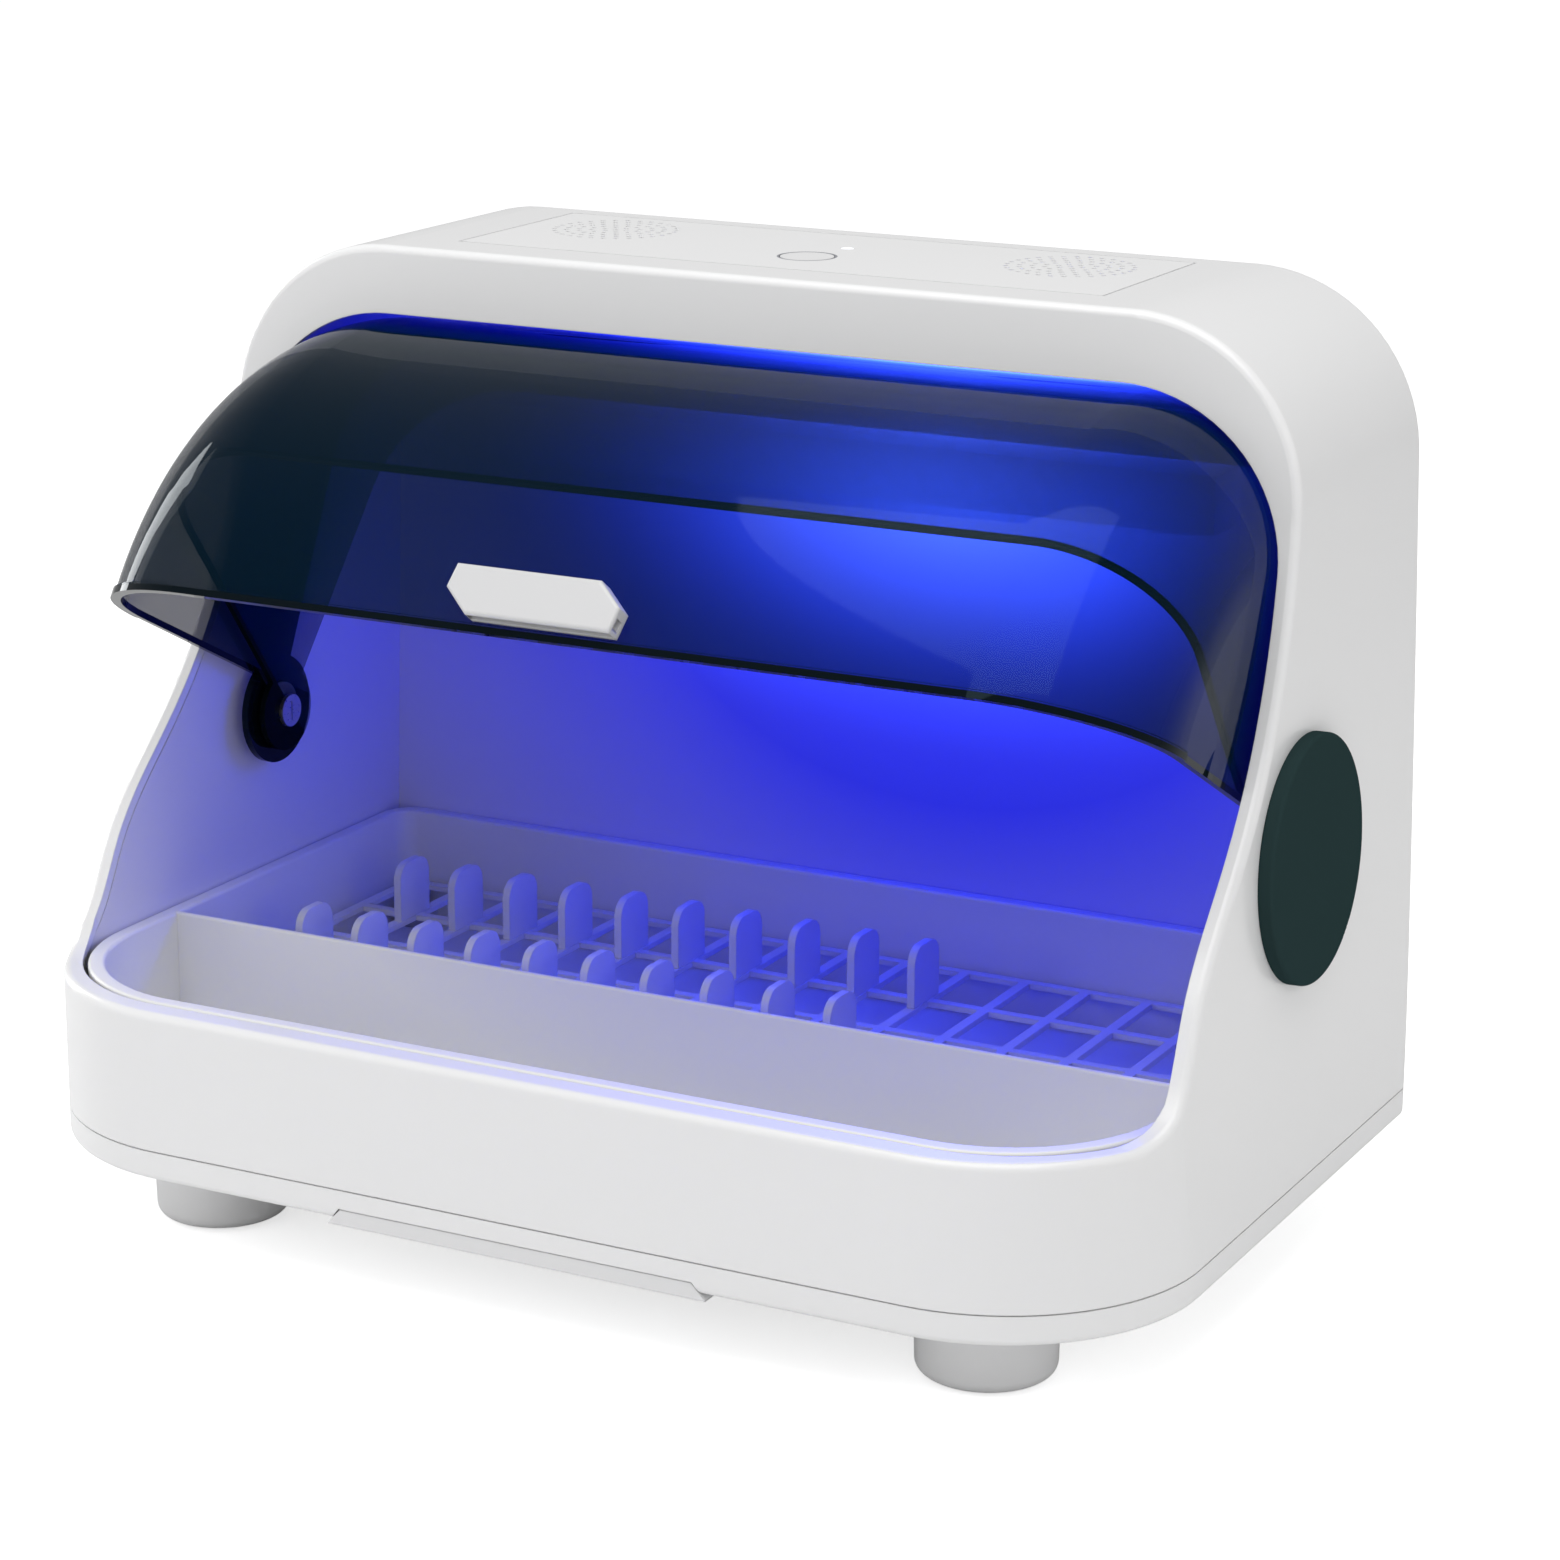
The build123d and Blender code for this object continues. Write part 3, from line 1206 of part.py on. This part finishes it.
def hinge_pin(side):
    """One hinge pin: flange outside the shell, shank through it, slim end for the window."""
    start = wall_x() + PIN_OUTER_GAP
    shoulder = VISOR_HALF_WIDTH - VISOR_WALL - FIT_GAP
    end = WINDOW_HALF_WIDTH - WINDOW_WALL
    pin = cross_pin(PIN_FLANGE_RADIUS, side * start, side * (start + PIN_FLANGE_THICKNESS))
    pin += cross_pin(PIN_RADIUS, side * shoulder, side * start)
    pin += cross_pin(PIN_END_RADIUS, side * end, side * shoulder)
    return pin - cross_pin(SCREW_RADIUS, side * (end - FIT_GAP), side * (shoulder + 2 * FIT_GAP))


def hinge_bush(side):
    """The bush on one hinge pin between the liner and the visor's cheek."""
    inner = VISOR_HALF_WIDTH + FIT_GAP
    outer = half_width_at(HINGE_UP + BUSH_RADIUS, SIDE_BAND) - FIT_GAP / 2
    bush = cross_pin(BUSH_RADIUS, side * inner, side * outer)
    return bush - cross_pin(PIN_RADIUS + RUN_GAP, -WIDTH, WIDTH)


def hinge_washers():
    """Two washers between the visor's cheeks and the window's cheeks."""
    inner = WINDOW_HALF_WIDTH + FIT_GAP
    outer = VISOR_HALF_WIDTH - VISOR_WALL - FIT_GAP
    group = []
    for side in (-1, 1):
        ring = cross_pin(BUSH_RADIUS, side * inner, side * outer)
        group.append(ring - cross_pin(PIN_END_RADIUS + RUN_GAP, side * (inner - 1), side * (outer + 1)))
    return group


def pin_screws():
    """Two screws that hold the window on the ends of the hinge pins."""
    group = []
    for side in (-1, 1):
        seat_x = side * (WINDOW_HALF_WIDTH - WINDOW_WALL - FIT_GAP / 3)
        place = Pos(seat_x, HINGE_Y, HINGE_Z) * Rot(0, -90 * side, 0)
        group.append(place * screw(WINDOW_WALL + FIT_GAP, PIN_RADIUS))
    return group


def hinge_cap(side):
    """One round cap over a hinge, tilted with the leaning side."""
    lean = math.degrees(math.atan(LEAN_RATE))
    cap = Pos(0, 0, CAP_STAND_OUT / 2) * Cylinder(CAP_RADIUS, CAP_STAND_OUT)
    cap = fillet(cap.edges().sort_by(Axis.Z)[-1], CAP_EDGE_ROUND)
    hollow = CAP_STAND_OUT - CAP_WALL
    cap -= Pos(0, 0, hollow / 2) * Cylinder(CAP_RADIUS - CAP_WALL, hollow)
    ring = Cylinder(CAP_RING_RADIUS, hollow) - Cylinder(CAP_RING_RADIUS - CAP_WALL, hollow)
    cap += Pos(0, 0, hollow / 2) * ring
    place = Pos(side * (wall_x() + FIT_GAP / 6), HINGE_Y, HINGE_Z) * Rot(0, side * (90 - lean), 0)
    return place * cap


# Writing ----------------------------------------------------------------------------------------

def solids_of(piece):
    """The piece as one compound of its solids."""
    pieces = piece if isinstance(piece, list) else [piece]
    solids = [solid for entry in pieces for solid in entry.solids()]
    return Compound(children=solids)


def build_parts():
    """Every node by name."""
    sides = {"left": -1, "right": 1}
    parts = {
        "outer_shell": outer_shell(),
        "back_cover": back_cover(),
        "power_inlet": power_inlet(),
        "back_screws": back_screws(),
        "inner_liner": inner_liner(),
        "inner_tub": inner_tub(),
        "trough_grate": trough_grate(),
        "dish_rack": dish_rack(),
        "rack_feet": rack_feet(),
        "plate_fins": plate_fins(),
        "base_pan": base_pan(),
        "tub_screws": tub_screws(),
        "drip_tray": drip_tray(),
        "rail_screws": rail_screws(),
        "foot_pads": foot_pads(),
        "foot_screws": foot_screws(),
        "top_panel": top_panel(),
        "power_button": power_button(),
        "button_spring": button_spring(),
        "indicator_lens": indicator_lens(),
        "control_board": control_board(),
        "push_switch": push_switch(),
        "board_standoffs": board_standoffs(),
        "fan_screws": fan_screws(),
        "lamp_housing": lamp_housing(),
        "lamp_sockets": lamp_sockets(),
        "uv_lamp": uv_lamp(),
        "lamp_driver": lamp_driver(),
        "visor": visor(),
        "visor_handle": visor_handle(),
        "handle_screws": handle_screws(),
        "upper_window": upper_window(),
        "hinge_washers": hinge_washers(),
        "pin_screws": pin_screws(),
    }
    for name, side in sides.items():
        parts["tray_rail_" + name] = tray_rail(side)
        parts["fan_frame_" + name] = fan_frame(side)
        parts["fan_rotor_" + name] = fan_rotor(side)
        parts["hinge_pin_" + name] = hinge_pin(side)
        parts["hinge_bush_" + name] = hinge_bush(side)
        parts["hinge_cap_" + name] = hinge_cap(side)
    foot_names = ["front_left", "back_left", "front_right", "back_right"]
    for name, (x, y) in zip(foot_names, foot_places()):
        parts["foot_" + name] = foot(x, y)
    return parts


os.makedirs("parts", exist_ok=True)
for node, shape in build_parts().items():
    export_step(solids_of(shape), f"parts/{node}.step")
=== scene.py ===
import json
import math

import bpy
from mathutils import Matrix, Vector


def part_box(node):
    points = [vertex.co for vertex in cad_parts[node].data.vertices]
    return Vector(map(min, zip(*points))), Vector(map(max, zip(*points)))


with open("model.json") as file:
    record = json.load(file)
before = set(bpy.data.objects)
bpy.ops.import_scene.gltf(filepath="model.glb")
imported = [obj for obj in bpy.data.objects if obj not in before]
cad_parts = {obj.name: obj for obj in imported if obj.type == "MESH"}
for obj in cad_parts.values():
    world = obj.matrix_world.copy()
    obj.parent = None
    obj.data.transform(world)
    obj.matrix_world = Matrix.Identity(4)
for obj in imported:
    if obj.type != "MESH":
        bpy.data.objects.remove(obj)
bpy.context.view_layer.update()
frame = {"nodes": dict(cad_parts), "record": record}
nodes = frame["nodes"]
joints = frame["record"]["behaviour"]["joints"]

# Places in the part, in metres
BUTTON_LOW, BUTTON_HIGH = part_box("power_button")
BUTTON_MIDDLE = (Vector(BUTTON_LOW) + Vector(BUTTON_HIGH)) / 2
BUTTON_RING = (0.0104, 0.0106)
LINER_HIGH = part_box("inner_liner")[1]
HINGE = next(joint["pos_m"] for joint in joints if joint["name"] == "visor_hinge")

# Moulded plastic
EDGE_ROUND = 0.0006
GRAIN_DEPTH = 0.0002
FINE_GRAIN = (240, 0.01)
RUBBER_GRAIN = (1500, 0.2)
GLOSS_DRIFT = 0.004
SHELL_COLOUR = (0.81, 0.81, 0.812)
RING_GREY = (0.22, 0.23, 0.26)

# The lamp's blue light, painted onto the cabin's plastic as a glow: a wide faint part, and a core that
# falls off steeply
GLOW_BLUE = (0.0, 0.008, 1.0)
GLOW_CORE = (0.035, 0.09, 1.0)
GLOW_PLACE = (0.035, LINER_HIGH[1], LINER_HIGH[2] - 0.075)
GLOW_REACH = (0.31, 0.26, 0.24)
CORE_PLACE = (0.035, LINER_HIGH[1], LINER_HIGH[2] - 0.058)
CORE_REACH = (0.22, 0.18, 0.12)
CORE_POWER = 3.0
WIDE_SHARE = 0.026
# Painted lamplight in the base colour: how far, and to which blue, the liner and tub turn round the
# lamp
PAINTED_LAMPLIGHT_SHARE = 0.92
LINER_PAINTED_LAMPLIGHT = (0.02, 0.02, 0.2)
TUB_PAINTED_LAMPLIGHT = (0.22, 0.24, 0.75)

# Smoked plastic: each lip is a plane's tip in degrees and its rise, then the width of its dark edge
SMOKE_SHINE = (0.4, 0.65, 0.8)
SMOKE_GLOSS = (0.02, 0.03)
LIP_DARK = (0.002, 0.004, 0.006)
LIP_SOFTNESS = 1.2
VISOR_LIP = (62.5, 0.008, 0.0022)
WINDOW_LIP = (36.0, 0.0, 0.0016)


# Materials --------------------------------------------------------------------------------------

def new_material(name):
    """A new node material, its tree and its shader."""
    material = bpy.data.materials.new(name)
    material.use_nodes = True
    tree = material.node_tree
    shader = tree.nodes["Principled BSDF"]
    return material, tree, shader


def add(tree, kind, **values):
    """A node of that kind with its sockets or settings filled in."""
    node = tree.nodes.new(kind)
    for key, value in values.items():
        if key in node.inputs:
            node.inputs[key].default_value = value
        else:
            setattr(node, key, value)
    return node


def noise(tree, scale, detail=2.0):
    """Noise in object space, so that it stays with the part."""
    place = add(tree, "ShaderNodeTexCoord")
    texture = add(tree, "ShaderNodeTexNoise", Scale=scale, Detail=detail)
    tree.links.new(place.outputs["Object"], texture.inputs["Vector"])
    return texture.outputs["Fac"]


def mapped(tree, source, from_low, from_high, low, high):
    """The source moved from one range of values to another."""
    node = add(tree, "ShaderNodeMapRange")
    node.inputs["From Min"].default_value = from_low
    node.inputs["From Max"].default_value = from_high
    node.inputs["To Min"].default_value = low
    node.inputs["To Max"].default_value = high
    tree.links.new(source, node.inputs["Value"])
    return node.outputs["Result"]


def tint(tree, source, first, last):
    """A colour that moves from the first shade to the last as the source rises."""
    ramp = add(tree, "ShaderNodeValToRGB")
    stops = ramp.color_ramp.elements
    for stop, position, shade in zip(stops, (0.1, 0.9), (first, last)):
        stop.position = position
        stop.color = (*shade, 1)
    tree.links.new(source, ramp.inputs["Fac"])
    return ramp.outputs["Color"]


def blended(tree, amount, first, colour):
    """The first colour turned into the second by an amount."""
    mix = add(tree, "ShaderNodeMix", data_type="RGBA")
    tree.links.new(amount, mix.inputs[0])
    tree.links.new(first, mix.inputs[6])
    mix.inputs[7].default_value = (*colour, 1)
    return mix.outputs[2]


def scaled(colour, share):
    """A colour with every part multiplied by a share."""
    return [part * share for part in colour]


def roughen(tree, shader, scale, strength):
    """A fine moulded grain on the surface, over edges that catch the light."""
    edge = add(tree, "ShaderNodeBevel", Radius=EDGE_ROUND)
    edge.samples = 4
    bump = add(tree, "ShaderNodeBump", Strength=strength, Distance=GRAIN_DEPTH)
    tree.links.new(noise(tree, scale, 4.0), bump.inputs["Height"])
    tree.links.new(edge.outputs["Normal"], bump.inputs["Normal"])
    tree.links.new(bump.outputs["Normal"], shader.inputs["Normal"])


def plastic(name, colour, rough, grain=FINE_GRAIN, vary=0.001, coat=0.0, shine=0.5):
    """Moulded plastic: slight drift of shade and gloss, and a fine grain."""
    material, tree, shader = new_material(name)
    dark = [max(0.0, part - vary) for part in colour]
    light = [min(1.0, part + vary) for part in colour]
    shade = tint(tree, noise(tree, 14, 0.0), dark, light)
    tree.links.new(shade, shader.inputs["Base Color"])
    gloss = mapped(tree, noise(tree, 25, 0.0), 0.0, 1.0, rough - GLOSS_DRIFT, rough + GLOSS_DRIFT)
    tree.links.new(gloss, shader.inputs["Roughness"])
    roughen(tree, shader, *grain)
    shader.inputs["IOR"].default_value = 1.49
    shader.inputs["Specular IOR Level"].default_value = shine
    shader.inputs["Coat Weight"].default_value = coat
    shader.inputs["Coat Roughness"].default_value = 0.08
    return material


def ball(tree, place, reach):
    """A value that falls from 1 at a place in the part to 0 at a reach along each axis."""
    where = add(tree, "ShaderNodeTexCoord")
    mapping = add(tree, "ShaderNodeMapping", vector_type="TEXTURE", Location=place, Scale=reach)
    tree.links.new(where.outputs["Object"], mapping.inputs["Vector"])
    fade = add(tree, "ShaderNodeTexGradient", gradient_type="SPHERICAL")
    tree.links.new(mapping.outputs["Vector"], fade.inputs["Vector"])
    return fade.outputs["Fac"]


def lamplight_painted_plastic(name, colour, rough, painted_blue, strength):
    """White plastic inside the cabin, with the lamp's blue light painted on round the lamp, as a blue
    base colour and an emitted glow.
    """
    material = plastic(name, colour, rough)
    tree = material.node_tree
    shader = tree.nodes["Principled BSDF"]
    near = ball(tree, GLOW_PLACE, GLOW_REACH)
    core = ball(tree, CORE_PLACE, CORE_REACH)
    plain = shader.inputs["Base Color"].links[0].from_socket
    # Painted lamplight: the base colour turns blue round the lamp
    lamplight_painted_base = blended(tree, mapped(tree, near, 0.0, 0.55, 0.0, PAINTED_LAMPLIGHT_SHARE), plain, painted_blue)
    tree.links.new(lamplight_painted_base, shader.inputs["Base Color"])
    # Painted glow: the plastic itself emits blue round the lamp, in a wide faint part and a steep core
    steep = add(tree, "ShaderNodeMath", operation="POWER")
    steep.inputs[1].default_value = CORE_POWER
    tree.links.new(core, steep.inputs[0])
    peak = add(tree, "ShaderNodeMath", operation="MULTIPLY_ADD")
    peak.inputs[1].default_value = strength
    tree.links.new(steep.outputs["Value"], peak.inputs[0])
    tree.links.new(mapped(tree, near, 0.0, 0.6, 0.0, strength * WIDE_SHARE), peak.inputs[2])
    tree.links.new(peak.outputs["Value"], shader.inputs["Emission Strength"])
    tree.links.new(tint(tree, core, GLOW_BLUE, GLOW_CORE), shader.inputs["Emission Color"])
    return material


def ringed_plastic(name, colour, rough):
    """The top panel's plastic, with the grey gap round the button."""
    material = plastic(name, colour, rough)
    tree = material.node_tree
    shader = tree.nodes["Principled BSDF"]
    where = add(tree, "ShaderNodeTexCoord")
    flat = add(tree, "ShaderNodeVectorMath", operation="MULTIPLY")
    flat.inputs[1].default_value = (1, 1, 0)
    tree.links.new(where.outputs["Object"], flat.inputs[0])
    gap = add(tree, "ShaderNodeVectorMath", operation="DISTANCE")
    gap.inputs[1].default_value = (BUTTON_MIDDLE.x, BUTTON_MIDDLE.y, 0)
    tree.links.new(flat.outputs["Vector"], gap.inputs[0])
    near = mapped(tree, gap.outputs["Value"], *BUTTON_RING, 1.0, 0.0)
    plain = shader.inputs["Base Color"].links[0].from_socket
    tree.links.new(blended(tree, near, plain, RING_GREY), shader.inputs["Base Color"])
    return material


def from_plane(tree, angle, rise):
    """Distance from a plane that holds the hinge axis, tipped by an angle and moved by a rise."""
    where = add(tree, "ShaderNodeTexCoord")
    tip = math.radians(angle)
    shift = add(tree, "ShaderNodeVectorMath", operation="SUBTRACT")
    shift.inputs[1].default_value = HINGE
    tree.links.new(where.outputs["Object"], shift.inputs[0])
    along = add(tree, "ShaderNodeVectorMath", operation="DOT_PRODUCT")
    along.inputs[1].default_value = (0, math.cos(tip), math.sin(tip))
    tree.links.new(shift.outputs["Vector"], along.inputs[0])
    distance = add(tree, "ShaderNodeMath", operation="SUBTRACT")
    distance.inputs[1].default_value = rise
    tree.links.new(along.outputs["Value"], distance.inputs[0])
    return distance.outputs["Value"]


def smoked(name, colour, facing, edge, lip, shine):
    """Clear smoked plastic, less clear at grazing angles, with a dark lower edge."""
    material, tree, shader = new_material(name)
    tip, rise, width = lip
    shade = tint(tree, noise(tree, 10), scaled(colour, 0.95), scaled(colour, 1.05))
    line = mapped(tree, from_plane(tree, tip, rise), width, width * LIP_SOFTNESS, 1.0, 0.0)
    tree.links.new(blended(tree, line, shade, LIP_DARK), shader.inputs["Base Color"])
    gloss = mapped(tree, noise(tree, 60), 0.3, 0.7, *SMOKE_GLOSS)
    tree.links.new(gloss, shader.inputs["Roughness"])
    layer = add(tree, "ShaderNodeLayerWeight", Blend=0.3)
    cover = mapped(tree, layer.outputs["Facing"], 0.0, 1.0, facing, edge)
    most = add(tree, "ShaderNodeMath", operation="MAXIMUM")
    tree.links.new(cover, most.inputs[0])
    tree.links.new(line, most.inputs[1])
    tree.links.new(most.outputs["Value"], shader.inputs["Alpha"])
    shader.inputs["IOR"].default_value = 1.5
    shader.inputs["Specular IOR Level"].default_value = shine
    shader.inputs["Specular Tint"].default_value = (*SMOKE_SHINE, 1)
    return material


def metal(name, colour, rough):
    """Plated steel with a fine brushed noise."""
    material, tree, shader = new_material(name)
    shader.inputs["Metallic"].default_value = 1.0
    shade = tint(tree, noise(tree, 300), scaled(colour, 0.9), colour)
    tree.links.new(shade, shader.inputs["Base Color"])
    gloss = mapped(tree, noise(tree, 900), 0.3, 0.7, rough - 0.06, rough + 0.06)
    tree.links.new(gloss, shader.inputs["Roughness"])
    return material


def glowing(name, colour, glow, strength):
    """A tube or lens that gives light."""
    material, tree, shader = new_material(name)
    shade = tint(tree, noise(tree, 50), scaled(colour, 0.95), colour)
    tree.links.new(shade, shader.inputs["Base Color"])
    shader.inputs["Roughness"].default_value = 0.12
    shader.inputs["Emission Color"].default_value = (*glow, 1)
    shader.inputs["Emission Strength"].default_value = strength
    return material


SLOT_LOOKS = {
    "white_shell": plastic("white_gloss", SHELL_COLOUR, 0.28, coat=0.2),
    # Tub and liner: white plastic with the lamp's blue light painted on round the lamp
    "white_tub": lamplight_painted_plastic("tub_white_painted_lamplight", (0.8, 0.8, 0.785), 0.34, TUB_PAINTED_LAMPLIGHT, 5.0),
    "white_liner": lamplight_painted_plastic("liner_white_painted_lamplight", (0.74, 0.73, 0.75), 0.36, LINER_PAINTED_LAMPLIGHT, 24.0),
    "white_base": plastic("base_white", (0.74, 0.74, 0.745), 0.36),
    "white_handle": plastic("handle_white", (0.63, 0.63, 0.635), 0.3),
    "smoked_clear": smoked("visor_smoke", (0.0, 0.008, 0.018), 0.58, 0.88, VISOR_LIP, 0.16),
    "green_cap": plastic("cap_slate_green", (0.022, 0.043, 0.044), 0.45, shine=0.0),
    "hinge_plastic": plastic("hinge_grey", (0.5, 0.5, 0.52), 0.45),
    "steel": metal("screw_steel", (0.62, 0.61, 0.6), 0.32),
    "foot_rubber": plastic("foot_rubber", (0.33, 0.33, 0.34), 0.7, grain=RUBBER_GRAIN, vary=0.02),
    "black_plastic": plastic("black_moulded", (0.025, 0.025, 0.026), 0.5),
    "board_green": plastic("board_green", (0.02, 0.13, 0.05), 0.35, vary=0.01),
    "lamp_glass": glowing("lamp_glow", (0.4, 0.45, 0.9), GLOW_BLUE, 2.0),
    "indicator_light": glowing("indicator_glow", (0.95, 0.96, 1.0), (0.9, 0.95, 1.0), 0.5),
}
NODE_LOOKS = {
    "upper_window": smoked("window_smoke", (0.0, 0.012, 0.035), 0.34, 0.6, WINDOW_LIP, 0.02),
    "top_panel": ringed_plastic("panel_white", SHELL_COLOUR, 0.28),
}


def dress_nodes():
    """Every CAD node takes the look of its slot, or one of its own."""
    slots = {part["node"]: part["material_slot"] for part in frame["record"]["subparts"]}
    for name, piece in nodes.items():
        look = NODE_LOOKS.get(name, SLOT_LOOKS[slots[name]])
        for entry in piece.material_slots:
            entry.material = look


# Stage, light and camera ------------------------------------------------------------------------

FLOOR_HALF = 6.0
FLOOR_COLOUR = (0.86, 0.86, 0.86)
FLOOR_LIFT = 0.64
AROUND_LIGHT = 0.46
LIGHT_TARGET = (0, 0, 0.16)
CAMERA_PLACE = (0.66136, -1.21406, 0.54517)
CAMERA_YAW = 27.55
CAMERA_PITCH = 15.78
CAMERA_ROLL = 0.21
CAMERA_LENS = 97.19


def make_floor():
    """A pale floor that reads as the white ground of a product picture."""
    mesh = bpy.data.meshes.new("floor")
    half = FLOOR_HALF
    corners = [(-half, -half, 0), (half, -half, 0), (half, half, 0), (-half, half, 0)]
    mesh.from_pydata(corners, [], [(0, 1, 2, 3)])
    floor = bpy.data.objects.new("floor", mesh)
    bpy.context.scene.collection.objects.link(floor)
    material, tree, shader = new_material("floor_white")
    shader.inputs["Base Color"].default_value = (*FLOOR_COLOUR, 1)
    shader.inputs["Roughness"].default_value = 0.9
    shader.inputs["Specular IOR Level"].default_value = 0.1
    path = add(tree, "ShaderNodeLightPath")
    lift = add(tree, "ShaderNodeMath", operation="MULTIPLY")
    lift.inputs[1].default_value = FLOOR_LIFT
    tree.links.new(path.outputs["Is Camera Ray"], lift.inputs[0])
    shader.inputs["Emission Color"].default_value = (1, 1, 1, 1)
    tree.links.new(lift.outputs["Value"], shader.inputs["Emission Strength"])
    mesh.materials.append(material)


def make_world():
    """Even white surroundings, brighter to the camera than to the part."""
    world = bpy.data.worlds.new("studio")
    world.use_nodes = True
    bpy.context.scene.world = world
    tree = world.node_tree
    tree.nodes.clear()
    path = add(tree, "ShaderNodeLightPath")
    seen = add(tree, "ShaderNodeBackground", Color=(1, 1, 1, 1), Strength=1.0)
    around = add(tree, "ShaderNodeBackground", Color=(1, 1, 1, 1), Strength=AROUND_LIGHT)
    mix = add(tree, "ShaderNodeMixShader")
    out = add(tree, "ShaderNodeOutputWorld")
    tree.links.new(path.outputs["Is Camera Ray"], mix.inputs["Fac"])
    tree.links.new(around.outputs[0], mix.inputs[1])
    tree.links.new(seen.outputs[0], mix.inputs[2])
    tree.links.new(mix.outputs[0], out.inputs["Surface"])


def area_light(name, place, width, height, power, shines=True):
    """A soft rectangular lamp aimed at the part."""
    data = bpy.data.lights.new(name, "AREA")
    data.energy = power
    data.shape = "RECTANGLE"
    data.size = width
    data.size_y = height
    light = bpy.data.objects.new(name, data)
    bpy.context.scene.collection.objects.link(light)
    light.location = place
    light.visible_glossy = shines
    aim = Vector(LIGHT_TARGET) - Vector(place)
    light.rotation_euler = aim.to_track_quat("-Z", "Y").to_euler()


def make_lights():
    """A top light, a front light from the left, a weak one from the right and a strip at the left."""
    area_light("key_top", (0.1, -0.5, 1.7), 1.6, 1.6, 19)
    area_light("front_left", (-1.6, -1.4, 0.9), 1.4, 1.4, 8.5, shines=False)
    area_light("right_fill", (1.9, -0.3, 0.8), 1.2, 1.2, 5.5, shines=False)
    area_light("left_strip", (-1.7, 0.35, 0.5), 0.3, 1.2, 8)


def make_camera():
    """The photograph's viewpoint, worked out from the part's straight edges."""
    yaw = math.radians(CAMERA_YAW)
    pitch = math.radians(CAMERA_PITCH)
    roll = math.radians(CAMERA_ROLL)
    back = Vector((math.sin(yaw) * math.cos(pitch), -math.cos(yaw) * math.cos(pitch), math.sin(pitch)))
    right = (-back).cross(Vector((0, 0, 1))).normalized()
    up = right.cross(-back)
    across = math.cos(roll) * right + math.sin(roll) * up
    above = math.cos(roll) * up - math.sin(roll) * right
    data = bpy.data.cameras.new("camera")
    data.sensor_width = 36
    data.lens = CAMERA_LENS
    camera = bpy.data.objects.new("camera", data)
    bpy.context.scene.collection.objects.link(camera)
    turn = Matrix((across, above, back)).transposed().to_4x4()
    camera.matrix_world = Matrix.Translation(CAMERA_PLACE) @ turn
    bpy.context.scene.camera = camera


dress_nodes()
make_floor()
make_world()
make_lights()
make_camera()
bpy.context.scene.view_settings.view_transform = "Standard"
